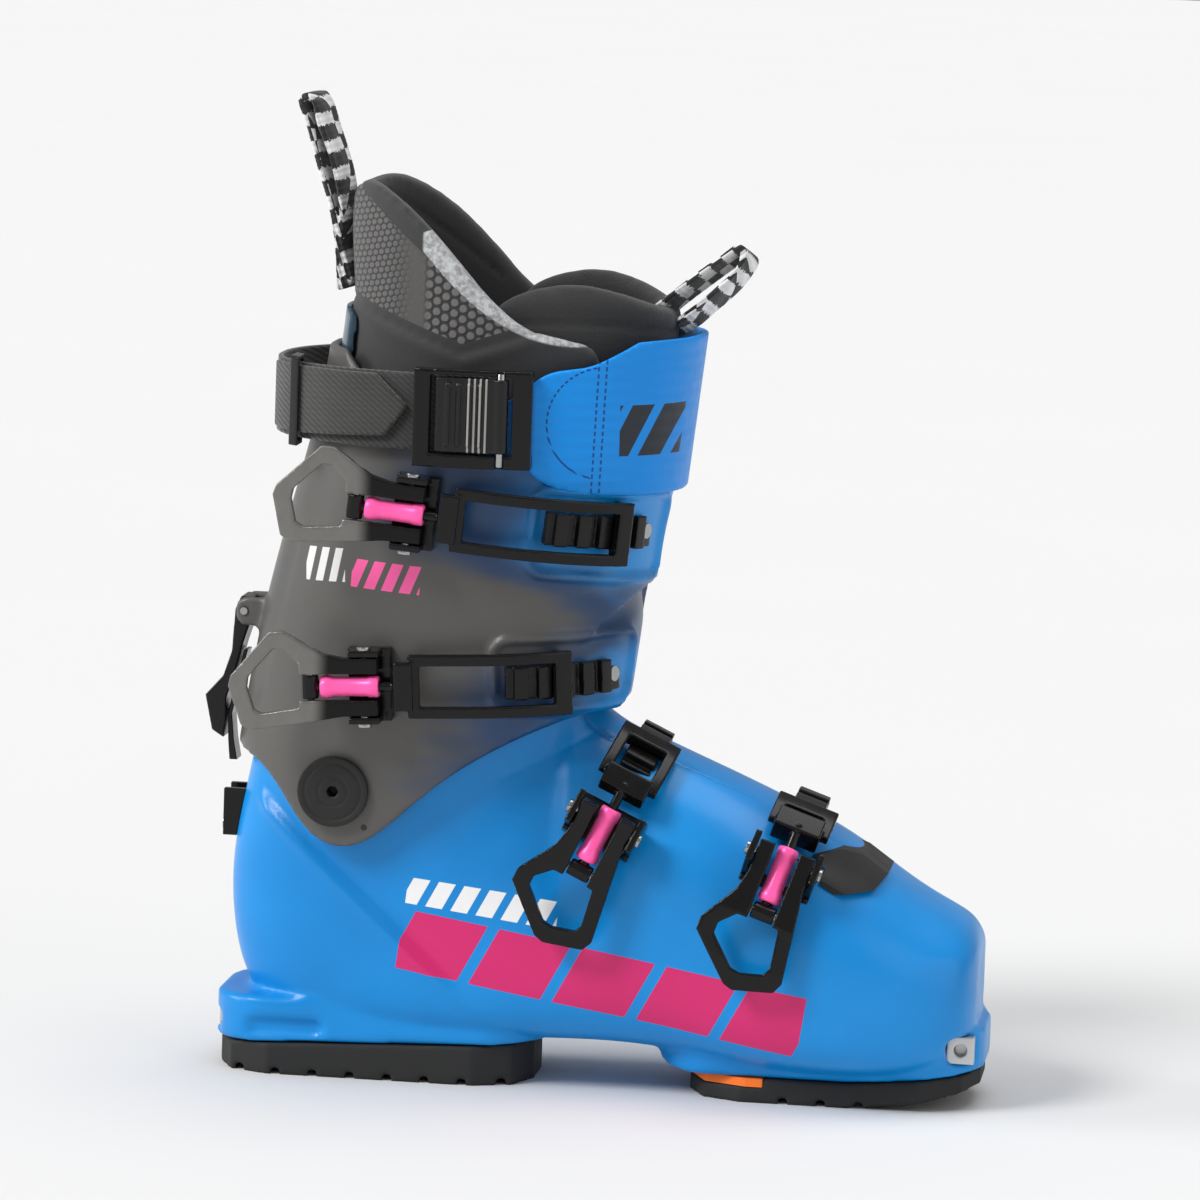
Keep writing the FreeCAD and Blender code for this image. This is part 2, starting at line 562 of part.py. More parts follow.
feature("liner_foot", max(foot_shape.Solids, key=lambda solid: solid.Volume))

# Spoiler: a stiff tab between the liner and the cuff's spine that carries the leg's load back.
spoiler_outer = skin_solid([section_poles(*inset(s, CUFF_WALL + 0.4)) for s in CUFF_SECTIONS])
spoiler_inner = skin_solid([section_poles(*inset(s, CUFF_WALL + 2.9)) for s in CUFF_SECTIONS])
SPOILER_OUTLINE = [(-45, 225), (-12, 225), (2, 262), (3, 298), (-1, 304), (-7, 306.5), (-14, 305), (-45, 303)]
spoiler_side = side_prism(SPOILER_OUTLINE, -27, 27, smooth=((2, 6),))
spoiler_shape = spoiler_outer.cut(spoiler_inner).common(spoiler_side)
feature("spoiler", max(spoiler_shape.Solids, key=lambda solid: solid.Volume))


# ---------------------------------------------------------------- cuff pivots
def along_y(x, z, y_from, y_to):
    """Placement of a primitive whose +Z runs from one Y to another at (x, z)."""
    return toward((x, y_from, z), (0, 1 if y_to > y_from else -1, 0))


shell_half = size("shell_half_at_pivot")
pivot_parts, nut_parts = [], []
for side, tag in ((-1, "outer"), (1, "inner")):
    face = side * (PIVOT_HALF + 1.6)
    disc = primitive("Cylinder", f"disc_{tag}", along_y(0, PIVOT_Z, face, face + side),
                     Radius="Sizes.pivot_disc_radius", Height="Sizes.pivot_disc_thick")
    shank = primitive("Cylinder", f"shank_{tag}", along_y(0, PIVOT_Z, side * (shell_half - 2.2), face + side),
                      Radius="Sizes.pivot_bush_radius")
    shank.Height = abs(face) - shell_half + 2.7
    socket = primitive("Prism", f"hex_{tag}", along_y(0, PIVOT_Z, face + side * 4, 0))
    socket.Polygon, socket.Circumradius, socket.Height = 6, 2.4, 8.0
    doc.recompute()
    pivot_parts.append(cut(f"rivet_{tag}", fuse(f"rivet_blank_{tag}", [disc, shank]), socket))
    nut = primitive("Cylinder", f"nut_{tag}", along_y(0, PIVOT_Z, side * (shell_half - 2.4), 0))
    nut.setExpression("Radius", "Sizes.nut_radius - 0.05")
    nut.Height = 2.0
    nut_parts.append(nut)
doc.recompute()
keep(fuse("pivot_rivet_pair", pivot_parts), "pivot_rivets")
keep(fuse("pivot_nut_pair", nut_parts), "pivot_nuts")


# ---------------------------------------------------------------- buckles
class Site:
    """Where a buckle sits: a cylinder that matches the shell there, and the lever pin's place on it.

    Distances along the pull run from the lever pin: first `lead` straight, then round the cylinder.
    Angles start at the boot's outer side and grow towards the front or the top.
    """

    def __init__(self, name, centre, axis, towards, radius, start, lead, lift, tuck, teeth, caught, host):
        self.name, self.radius, self.start = name, radius, math.radians(start)
        self.lead, self.lift = lead, lift
        self.centre, self.axis, self.towards = V(centre[0], 0, centre[1]), axis, towards
        self.teeth, self.caught, self.host = teeth, caught, host
        outward, along = self.radial(self.start), self.tangent(self.start)
        turn = math.radians(tuck)
        self.away = along * -math.cos(turn) - outward * math.sin(turn)
        self.proud = outward * math.cos(turn) - along * math.sin(turn)
        self.side = self.proud.cross(self.away)
        self.pin = self.point(0, lift, 0)
        self.link = self.local(size("link_offset"), 0, -1.0)
        facing = FreeCAD.Rotation(self.away, self.side, self.proud, "ZXY")
        self.placement = FreeCAD.Placement(self.pin, facing)

    def radial(self, angle):
        return V(0, -math.cos(angle), 0) + self.towards * math.sin(angle)

    def tangent(self, angle):
        return V(0, math.sin(angle), 0) + self.towards * math.cos(angle)

    def local(self, x, y, z):
        """Point in the lever's axes: x away from the ladder, y along the pin, z outwards."""
        return self.pin + self.away * x + self.side * y + self.proud * z

    def point(self, along, height, across):
        """Point at a distance along the pull, a height over the shell and a distance along the pin."""
        if along <= self.lead:
            base = self.radial(self.start) * (self.radius + height)
            base += self.tangent(self.start) * (along - self.lead)
        else:
            base = self.radial(self.start + (along - self.lead) / self.radius) * (self.radius + height)
        return self.centre + base + self.axis * across

    def span(self, start, end, low, high, left, right):
        """Solid between two distances, two heights and two places across, bent with the shell."""
        solids = []
        if start < self.lead:
            stop = min(end, self.lead)
            corners = [self.point(start, low, left), self.point(stop, low, left),
                       self.point(stop, high, left), self.point(start, high, left)]
            solids.append(Part.Face(Part.makePolygon(corners + corners[:1])))
        if end > self.lead:
            begin = max(start, self.lead) + 1e-9
            middle = (begin + end) / 2
            low_run = [self.point(u, low, left) for u in (begin, middle, end)]
            high_run = [self.point(u, high, left) for u in (end, middle, begin)]
            edges = [Part.Arc(*low_run).toShape(), Part.LineSegment(low_run[2], high_run[0]).toShape(),
                     Part.Arc(*high_run).toShape(), Part.LineSegment(high_run[2], low_run[0]).toShape()]
            solids.append(Part.Face(Part.Wire(edges)))
        blocks = [face.extrude(self.axis * (right - left)) for face in solids]
        return blocks[0] if len(blocks) == 1 else blocks[0].fuse(blocks[1]).removeSplitter()


def turned(degrees):
    """The +X and +Z directions turned nose-down about Y."""
    turn = math.radians(degrees)
    return V(math.cos(turn), 0, -math.sin(turn)), V(math.sin(turn), 0, math.cos(turn))


UPPER_FORWARD, UPPER_AXIS = turned(5)
LOWER_FORWARD, LOWER_AXIS = turned(-3)
INSTEP_AXIS, INSTEP_UP = turned(25)
TOE_AXIS, TOE_UP = turned(19)
SITES = [
    Site("upper", (57.2, 229.1), UPPER_AXIS, UPPER_FORWARD, 63.5, 0, 27.3, 9.0, 0, (55, 5), 2, cuff_outer),
    Site("lower", (53.9, 164.2), LOWER_AXIS, LOWER_FORWARD, 57.0, 0, 40.4, 9.0, 0, (57, 5), 1, cuff_outer),
    Site("instep", (99.5, 93), INSTEP_AXIS, INSTEP_UP, 49.5, 20, 0, 12.5, 22, (31, 4), 0, ROOT_SOLID),
    Site("toe", (165.5, 61.5), TOE_AXIS, TOE_UP, 57.0, 36, 0, 14.0, 28, (21, 4), 0, ROOT_SOLID),
]

# The lever is a pointed loop; its corners are fractions of its reach and of half its width.
LEVER_SIDE = [(-0.1, -0.5), (0.12, -0.5), (0.45, -0.32), (0.8, -0.42), (1.02, -0.6), (1.02, 0.0), (0.8, 0.38),
              (0.45, 0.62), (0.12, 0.55), (-0.1, 0.5)]
LEVER_PLAN = [(-0.1, -0.52), (0.15, -0.52), (0.3, -0.6), (0.58, -1.0), (0.68, -1.0), (0.98, -0.2),
              (1.0, -0.02), (0.91, 0.68), (0.83, 0.77), (0.3, 0.58), (0.15, 0.52), (-0.1, 0.52)]
LEVER_WINDOW = [(0.47, -0.42), (0.58, -0.68), (0.66, -0.68), (0.85, -0.18), (0.86, 0.0), (0.81, 0.4),
                (0.75, 0.47), (0.47, 0.36)]


def lever_body(site):
    """Lever made from its side profile, trimmed to its loop outline, with a slot for the adjuster."""
    body = doc.addObject("PartDesign::Body", f"{site.name}_lever_body")
    profile = new_sketch(body, f"{site.name}_lever_side", "XZ_Plane")
    add_outline(profile, LEVER_SIDE, "lever_reach", "lever_thick")
    pad(body, profile, "Sizes.lever_half * 2.1")
    around = new_sketch(body, f"{site.name}_lever_plan", "XY_Plane")
    add_outline(around, [(-0.4, -1.6), (1.4, -1.6), (1.4, 1.6), (-0.4, 1.6)], "lever_reach", "lever_half")
    add_outline(around, LEVER_PLAN, "lever_reach", "lever_half")
    pocket_through(body, around)
    window = new_sketch(body, f"{site.name}_lever_window", "XY_Plane")
    add_outline(window, LEVER_WINDOW, "lever_reach", "lever_half")
    pocket_through(body, window)
    slot = new_sketch(body, f"{site.name}_lever_slot", "XY_Plane")
    add_outline(slot, [(-0.3, -1), (0.52, -1), (0.52, 1), (-0.3, 1)], "lever_reach", "slot_half")
    pocket_through(body, slot)
    bores = new_sketch(body, f"{site.name}_lever_bores", "XZ_Plane")
    pin_bore = size("pin_radius") + size("pin_clearance")
    add_circle(bores, (0, 0), "Sizes.pin_radius + Sizes.pin_clearance", pin_bore)
    add_circle(bores, (size("link_offset"), -1.0), "Sizes.pin_radius", size("pin_radius"))
    pocket_through(body, bores)
    body.Placement = site.placement
    return keep(body, f"{site.name}_lever")


def across_pin(name, site, x, z, y_from, y_to, radius):
    """Cylinder along the lever's pin direction at a place in the lever's axes."""
    direction = site.side if y_to > y_from else site.side * -1
    obj = primitive("Cylinder", name, toward(site.local(x, y_from, z), direction), Radius=radius)
    obj.Height = abs(y_to - y_from)
    return obj


def lever_pins(site):
    """Two stub pins with heads, from the base's ears into the lever's arms."""
    members = []
    for sign, tag in ((-1, "a"), (1, "b")):
        members.append(across_pin(f"{site.name}_stub_{tag}", site, 0, 0, sign * (size("slot_half") + 0.5),
                                  sign * size("pin_head"), "Sizes.pin_radius"))
        members.append(across_pin(f"{site.name}_head_{tag}", site, 0, 0, sign * size("ear_outer"),
                                  sign * (size("ear_outer") + 1.3), "Sizes.pin_radius * 1.8"))
    doc.recompute()
    keep(fuse(f"{site.name}_pin_pair", members), f"{site.name}_lever_pins")


def adjuster(site):
    """Threaded sleeve on the hook's rod; it turns to set the length."""
    start = site.point(11.5, site.lift - 1.0, 0)
    pull = (start - site.link).normalize()
    begin = site.link + pull * 4.2
    sleeve = primitive("Cylinder", f"{site.name}_sleeve", toward(begin, pull),
                       Radius="Sizes.barrel_radius", Height="Sizes.barrel_length")
    bore = primitive("Cylinder", f"{site.name}_bore", toward(begin - pull * 5, pull),
                     Radius="Sizes.rod_radius + Sizes.rod_clearance", Height="Sizes.barrel_length + 10")
    keep(cut(f"{site.name}_sleeve_bored", sleeve, bore), f"{site.name}_adjuster")
    return pull


BASE_REAR, BASE_THICK = 7.5, 1.8
TOOTH_LONG = 5.2


def buckle_base(site):
    """Riveted base with two ears, its underside shaped to the shell."""
    inner, outer = size("ear_inner"), size("ear_outer")
    solid = site.span(-BASE_REAR, 9.5, -6, BASE_THICK, -outer, outer)
    for low, high in ((-outer, -inner), (inner, outer)):
        solid = solid.fuse(site.span(-6, 6, -4, site.lift + 3.2, low, high))
        solid = solid.cut(across_bore(site, size("pin_radius")))
    solid = solid.cut(site.host)
    feature(f"{site.name}_buckle_base", max(solid.Solids, key=lambda piece: piece.Volume))


def across_bore(site, radius):
    """Long cylinder on the lever pin's axis."""
    return Part.makeCylinder(radius, 60, site.local(0, -30, 0), site.side)


def ladder(site):
    """Toothed catch strip on the far flap, shaped to the shell underneath."""
    half = size("ladder_half")
    first, count = site.teeth
    pitch = size("tooth_pitch")
    end = first + pitch * count + 5
    solid = site.span(first - 3, end, -6, 2.0, -half, half)
    for index in range(count):
        at = first + pitch * index
        solid = solid.fuse(site.span(at, at + TOOTH_LONG, 1.5, 5.0, -half, half))
    solid = solid.cut(site.host)
    feature(f"{site.name}_ladder", max(solid.Solids, key=lambda piece: piece.Volume))
    return end - 4.5


def hook(site):
    """Rod with an eye on the lever's link pin, a block, and a frame whose bar drops between two teeth."""
    half, thick = size("hook_half"), size("hook_thick")
    bar_at = site.teeth[0] + size("tooth_pitch") * site.caught + TOOTH_LONG + 0.7
    end = bar_at + 5.0
    start = site.point(11.5, site.lift - 1.0, 0)
    pull = start - site.link
    eye = Part.makeCylinder(size("eye_radius"), 9.4, site.link - site.side * 4.7, site.side)
    rod = Part.makeCylinder(size("rod_radius"), pull.Length + 4, site.link, pull)
    low = 6.0
    block = site.span(11.5, 19, low - 0.6, site.lift + 2.0, -9.5, 9.5)
    frame = site.span(17, end, low, low + thick, -half, half).cut(
        site.span(21.5, bar_at - 1.0, low - 3, low + thick + 3, -8.0, 8.0))
    bar = site.span(bar_at, bar_at + 2.4, 3.1, low + 1, -half, half)
    solid = eye.fuse([rod, block, frame, bar])
    solid = solid.cut(Part.makeCylinder(size("pin_radius") + size("pin_clearance"), 20,
                                        site.link - site.side * 10, site.side))
    feature(f"{site.name}_hook", solid.removeSplitter())


def rivet_at(site, along, height, radius, across=0.0):
    """Rivet seated in a base or ladder and through the wall behind it, flush inside."""
    outward = site.point(along, 10, 0) - site.point(along, 0, 0)
    outward.normalize()
    foot = site.point(along, height, across)
    head = Part.makeCylinder(radius, 1.4, foot - outward * 0.4, outward)
    shank = Part.makeCylinder(radius * 0.55, height + 8.5, foot - outward * (height + 8.0), outward)
    hollow = cuff_inner if site.host is cuff_outer else shell_inner
    return head.fuse(shank.cut(hollow))


rivets = {"cuff": [], "shell": []}
for site in SITES:
    lever_body(site)
    lever_pins(site)
    keep(across_pin(f"{site.name}_link", site, size("link_offset"), -1.0, -size("lever_neck") + 1,
                    size("lever_neck") - 1, "Sizes.pin_radius"), f"{site.name}_link_pin")
    adjuster(site)
    hook(site)
    buckle_base(site)
    last = ladder(site)
    group = rivets["cuff" if site.host is cuff_outer else "shell"]
    group.append(rivet_at(site, last, 2.0, 3.0))
    for across in (-8.2, 8.2):
        group.append(rivet_at(site, -4.6, BASE_THICK, 2.0, across))


# ---------------------------------------------------------------- power strap
STRAP_MID_X, STRAP_HALF_X, STRAP_HALF_Y = 47.0, 82.0, 65.5
STRAP_LEVEL = size("strap_level")


def strap_ring(outer, inner, low, high, lean=0.0):
    """Band round the leg between two offsets from the strap's outer face."""
    bands = []
    for offset in (outer, inner):
        poles = rounded_plan(STRAP_HALF_X + offset, STRAP_HALF_Y + offset, 2.2, STRAP_MID_X, low)
        curve = Part.BSplineCurve()
        curve.buildFromPoles(poles, True, 3)
        bands.append(Part.Face(Part.Wire([curve.toShape()])).extrude(V(lean, 0, high - low)))
    return bands[0].cut(bands[1])


PANEL_OUTLINE = [
    (59, 251), (59, 275), (69, 278), (75, 283), (81, 287), (96, 290), (103, 293), (114, 299.5), (145, 301),
    (145, 238.5), (125, 239), (94, 240), (81, 244), (73, 250)]
panel = strap_ring(0, -size("panel_thick"), 228, 306, 8).common(
    side_prism(PANEL_OUTLINE, -WIDE, WIDE, smooth=((1, 7), (10, 13))))
cuff_top = [(-75, 80), (140, 80), (140, 243.7), (100, 246.8), (62, 254.8), (30, 267), (-75, 292)]
cuff_room = skin_solid([section_poles(*inset(s, -0.3)) for s in CUFF_SECTIONS]).common(
    side_prism(cuff_top, -WIDE, WIDE))
feature("power_strap_front", panel.cut(cuff_room))

WEB_LOW, WEB_HIGH = STRAP_LEVEL - 12.5, STRAP_LEVEL + 17.5
webbing = strap_ring(0, -size("strap_thick"), WEB_LOW, WEB_HIGH).common(
    box((-60, -90, 200), (58.6, 90, 320)))
feature("power_strap_webbing", webbing)

TAIL_OUTLINE = [(-31.5, 258.5), (-31.5, 284.5), (14, 284.5), (27, 272.5), (18, 260.5), (-20, 258)]
tail = strap_ring(2.8, 0.3, 250, 295).common(side_prism(TAIL_OUTLINE, -WIDE, 0))
feature("power_strap_tail", tail)

keeper = strap_ring(4.6, -4.2, WEB_LOW - 2.6, WEB_HIGH + 2.6)
keeper = keeper.cut(strap_ring(3.1, -2.7, WEB_LOW - 0.8, WEB_HIGH + 0.8))
feature("strap_keeper", keeper.common(box((-23, -90, 200), (-19, 0, 320))))

# Cam buckle: two rails joined by end bars, and a ribbed cam plate that pinches the webbing.
CAM_PIVOT = (64.0, -70.0)
FRAME_LOW, FRAME_HIGH = STRAP_LEVEL - 18, STRAP_LEVEL + 20
buckle_band = strap_ring(6.8, 0.4, FRAME_LOW, FRAME_HIGH)
frame_solid = buckle_band.common(box((30, -90, 200), (76, 0, 320)))
frame_solid = frame_solid.cut(box((36.5, -90, WEB_LOW - 0.4), (68.5, 0, WEB_HIGH + 0.4)))
frame_solid = frame_solid.cut(box((24, -66.3, WEB_LOW - 0.4), (90, -40, WEB_HIGH + 0.4)))
frame_solid = frame_solid.cut(Part.makeCylinder(size("cam_radius"), 80, V(CAM_PIVOT[0], CAM_PIVOT[1], 220)))
panel_room = strap_ring(0.3, -size("panel_thick"), 228, 306, 8).common(box((50, -WIDE, 200), (160, 0, 320)))
frame_solid = frame_solid.cut(panel_room)
feature("strap_buckle_frame", frame_solid)
cam_pin = primitive("Cylinder", "cam_pin", toward((*CAM_PIVOT, FRAME_LOW + 1), (0, 0, 1)),
                    Radius="Sizes.cam_radius")
cam_pin.Height = FRAME_HIGH - FRAME_LOW - 2
keep(cam_pin, "strap_cam_pin")
cam_plate = primitive("Box", "cam_plate", FreeCAD.Placement(V(39, -72.2, WEB_LOW + 0.6), FreeCAD.Rotation()))
cam_plate.Length, cam_plate.Width, cam_plate.Height = 26.0, 3.0, WEB_HIGH - WEB_LOW - 1.2
cam_barrel = primitive("Cylinder", "cam_barrel", toward((*CAM_PIVOT, WEB_LOW + 0.6), (0, 0, 1)))
cam_barrel.Radius, cam_barrel.Height = 3.0, WEB_HIGH - WEB_LOW - 1.2
cam_ribs = []
for index in range(4):
    rib = primitive("Box", f"cam_rib_{index}", FreeCAD.Placement(
        V(43 + index * 4.2, -73.2, WEB_LOW + 3), FreeCAD.Rotation()))
    rib.Length, rib.Width, rib.Height = 1.4, 1.6, WEB_HIGH - WEB_LOW - 6
    cam_ribs.append(rib)
cam_hole = primitive("Cylinder", "cam_hole", toward((*CAM_PIVOT, 230), (0, 0, 1)),
                     Radius="Sizes.cam_radius + 0.05")
cam_hole.Height = 80
doc.recompute()
keep(cut("cam_bored", fuse("cam_blank", [cam_plate, cam_barrel] + cam_ribs), cam_hole), "strap_cam")

# ---------------------------------------------------------------- pull loops
LOOP_HALF = size("loop_width") / 2


def closed_spline(points, level):
    """Closed smooth outline through (x, z) points at one Y."""
    curve = Part.BSplineCurve()
    curve.interpolate([V(x, level, z) for x, z in points], PeriodicFlag=True)
    return Part.Wire([curve.toShape()])


def pull_loop(label, outside, inside, skew, neighbour):
    """Folded webbing loop: a thin ring in side view, swept along the slanting width of the webbing."""
    sweep = V(skew[0], 2 * LOOP_HALF, skew[1])
    solid = Part.Face(closed_spline(outside, -LOOP_HALF)).extrude(sweep)
    ring_shape = solid.cut(Part.Face(closed_spline(inside, -LOOP_HALF)).extrude(sweep)).cut(neighbour)
    feature(label, max(ring_shape.Solids, key=lambda piece: piece.Volume))


REAR_LOOP = [(-12, 312), (-13.6, 332), (-17, 347.5), (-20.4, 357.5), (-24, 369.5), (-28, 381), (-29, 386.5),
             (-26.5, 388.5), (-23, 386), (-20, 379), (-16.5, 369), (-13, 358.5), (-10.8, 348), (-9.6, 337),
             (-8.6, 325), (-8.2, 312)]
REAR_HOLE = [(-11.4, 336), (-14.8, 347.5), (-18.3, 358), (-22, 370), (-26, 381), (-27, 385.2), (-25.8, 385.6),
             (-22.4, 379), (-18.5, 369), (-15, 358.5), (-12.6, 348)]
pull_loop("rear_pull_loop", REAR_LOOP, REAR_HOLE, (4.6, 1.0), liner_outer)
TONGUE_LOOP = [(103, 298), (109, 306), (120, 315.5), (134, 327), (143, 334), (147.5, 336.5), (150.5, 334.5),
               (149, 328.5), (143, 320.5), (134, 312), (124.5, 304), (117, 300.5), (109, 297.5)]
TONGUE_HOLE = [(112, 305), (121, 313.5), (135, 325), (144, 332), (147.5, 333.8), (147.5, 330), (141.5, 321.8),
               (132.5, 313.3), (123.5, 305.8), (117, 302.3)]
pull_loop("tongue_pull_loop", TONGUE_LOOP, TONGUE_HOLE, (3.4, -4.6), tongue_shape)

# ---------------------------------------------------------------- walk lock
walk = doc.addObject("PartDesign::Body", "walk_lever_body")
walk_side = new_sketch(walk, "walk_side", "XZ_Plane")
WALK_OUTLINE = [(-42, 187), (-46.5, 187.5), (-48.8, 182), (-49.8, 165), (-53, 155), (-60, 147), (-57, 133),
                (-52.2, 130), (-51.2, 138), (-51.6, 146), (-47.8, 158), (-45.4, 168), (-42.6, 177)]
add_outline(walk_side, [(x / size("walk_width"), z / size("pivot_height")) for x, z in WALK_OUTLINE],
            "walk_width", "pivot_height")
pad(walk, walk_side, "Sizes.walk_width")
walk_bore = new_sketch(walk, "walk_bore", "XZ_Plane")
add_circle(walk_bore, WALK_PIVOT, "Sizes.walk_pin + Sizes.pin_clearance",
           size("walk_pin") + size("pin_clearance"))
pocket_through(walk, walk_bore)
keep(walk, "walk_lever")
walk_pin = primitive("Cylinder", "walk_pin", along_y(*WALK_PIVOT, -12, 12), Radius="Sizes.walk_pin")
walk_pin.Height = 24
keep(walk_pin, "walk_lever_pin")

lock = doc.addObject("PartDesign::Body", "lock_bar_body")
lock_side = new_sketch(lock, "lock_side", "XZ_Plane")
LOCK_OUTLINE = [(-46.8, 121), (-49.9, 121), (-50.7, 130), (-51.0, 140), (-47.4, 156), (-45.2, 165.5),
                (-43.6, 165.5), (-45.9, 156), (-49.3, 139.5), (-48.3, 129)]
add_outline(lock_side, [(x / size("walk_width"), z / size("pivot_height")) for x, z in LOCK_OUTLINE],
            "walk_width", "pivot_height")
pad(lock, lock_side, "Sizes.walk_width * 0.68")
keep(lock, "lock_bar")

anchor = box((-51, -9, 91), (-38, 9, 110)).cut(box((-60, -6.2, 99), (-30, 6.2, 130))).cut(shell_outer)
feature("lock_anchor", max(anchor.Solids, key=lambda piece: piece.Volume))

# Rivet groups: ladders, buckle bases, strap webbing to the cuff, and the lock's anchor.
def strap_face(x):
    """Half-width of the strap's outer face at a place along the foot."""
    return STRAP_HALF_Y * (1 - abs((x - STRAP_MID_X) / STRAP_HALF_X) ** 2.2) ** (1 / 2.2) - 0.7


for x in (8.0, 22.0):
    face = strap_face(x)
    shank = Part.makeCylinder(1.8, 9.0, V(x, face - 8.6, STRAP_LEVEL - 4), V(0, 1, 0)).cut(cuff_inner)
    head = Part.makeCylinder(3.4, 1.4, V(x, face - 0.4, STRAP_LEVEL - 4), V(0, 1, 0))
    rivets["cuff"].append(shank.fuse(head))
for side in (-1, 1):
    rivets["shell"].append(Part.makeCylinder(1.6, 8, V(-51, side * 3.2, 95), V(1, 0, 0)).fuse(
        Part.makeCylinder(2.6, 1.0, V(-51.8, side * 3.2, 95), V(1, 0, 0))))
feature("cuff_rivets", Part.makeCompound(rivets["cuff"]))
feature("shell_rivets", Part.makeCompound(rivets["shell"]))


# ---------------------------------------------------------------- checks and export
doc.recompute()
for obj in doc.Objects:
    if "Invalid" in obj.State or "Error" in obj.State:
        raise RuntimeError(f"{obj.Name} failed to recompute: {obj.State}")
labels = [part.Label for part in PARTS]
if len(set(labels)) != len(labels):
    raise RuntimeError("two sub-parts share a label")
for part in PARTS:
    shape = part.Shape
    if shape.isNull() or not shape.isValid() or shape.Volume < 1:
        raise RuntimeError(f"{part.Label} has no valid solid")
os.makedirs("parts", exist_ok=True)
for part in PARTS:
    part.Shape.exportStep(f"parts/{part.Label}.step")
    print(f"{part.Label:26s} {part.Shape.Volume:11.1f} mm3  {len(part.Shape.Solids)} solid(s)")
print(len(PARTS), "sub-parts")
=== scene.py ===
import json
import math

import bpy
import numpy as np
from mathutils import Matrix, Vector


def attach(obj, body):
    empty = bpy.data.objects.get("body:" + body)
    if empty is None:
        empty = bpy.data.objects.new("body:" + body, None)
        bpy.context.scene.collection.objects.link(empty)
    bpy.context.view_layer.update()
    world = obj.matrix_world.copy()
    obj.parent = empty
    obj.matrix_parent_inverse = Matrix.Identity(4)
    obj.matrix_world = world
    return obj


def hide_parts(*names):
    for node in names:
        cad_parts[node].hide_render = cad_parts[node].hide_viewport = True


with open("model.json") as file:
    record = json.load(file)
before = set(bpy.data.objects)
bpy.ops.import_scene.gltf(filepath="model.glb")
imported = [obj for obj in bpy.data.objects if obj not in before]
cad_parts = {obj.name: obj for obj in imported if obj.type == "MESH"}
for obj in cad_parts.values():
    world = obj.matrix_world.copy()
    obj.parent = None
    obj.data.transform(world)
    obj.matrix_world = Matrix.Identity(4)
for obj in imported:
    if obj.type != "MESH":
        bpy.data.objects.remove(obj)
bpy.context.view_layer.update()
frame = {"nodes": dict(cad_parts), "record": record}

MM = 0.001
PIVOT_HEIGHT = 118  # of the cuff's pivots, in millimetres
OUTER_SIDE = -0.02  # a mark is drawn where y is lower than this, in metres
NODES = frame["nodes"]
BODY_OF = {node: body for body, nodes in frame["record"]["behaviour"]["bodies"].items() for node in nodes}
BUCKLES = ("upper", "lower", "instep", "toe")


# ---------------------------------------------------------------- camera, light and floor
def look(azimuth, elevation, roll, target, distance, frame_width):
    """Long-lens camera that looks at a point and sees a given width there."""
    a, e, r = (math.radians(value) for value in (azimuth, elevation, roll))
    right = Vector((math.cos(a), math.sin(a), 0))
    up = Vector((-math.sin(e) * math.sin(a), math.sin(e) * math.cos(a), math.cos(e)))
    back = right.cross(up)
    turned_right = right * math.cos(r) + up * math.sin(r)
    turned_up = up * math.cos(r) - right * math.sin(r)
    camera = bpy.data.cameras.new("camera")
    camera.sensor_width = 36
    camera.lens = camera.sensor_width * distance / frame_width
    camera.clip_end = 100
    holder = bpy.data.objects.new("camera", camera)
    place = Matrix((turned_right, turned_up, back)).transposed().to_4x4()
    place.translation = target + back * distance
    holder.matrix_world = place
    bpy.context.scene.collection.objects.link(holder)
    bpy.context.scene.camera = holder


def soft_light(name, place, strength, spread, tint=(1, 1, 1)):
    """Broad far light that shines from a place towards the boot."""
    light = bpy.data.lights.new(name, "SUN")
    light.angle = math.radians(spread)
    light.energy = strength
    light.color = tint
    holder = bpy.data.objects.new(name, light)
    holder.location = place
    holder.rotation_euler = Vector(place).to_track_quat("Z", "Y").to_euler()
    bpy.context.scene.collection.objects.link(holder)


look(7.0, 7.5, 2.0, Vector((0.0966, 0, 0.1921)), 2.6, 0.4762)
soft_light("key_light", (-1.0, -0.9, 1.25), 1.9, 20)
soft_light("top_light", (0.25, 0.15, 1.5), 1.05, 40)
soft_light("front_light", (1.4, -0.7, 0.55), 0.5, 50)
soft_light("rim_light", (-1.0, -0.16, 0.40), 1.35, 24)

world = bpy.data.worlds.new("studio")
world.use_nodes = True
world.node_tree.nodes["Background"].inputs["Color"].default_value = (0.40, 0.40, 0.405, 1)
world.node_tree.nodes["Background"].inputs["Strength"].default_value = 1.0
bpy.context.scene.world = world
bpy.context.scene.view_settings.view_transform = "Standard"


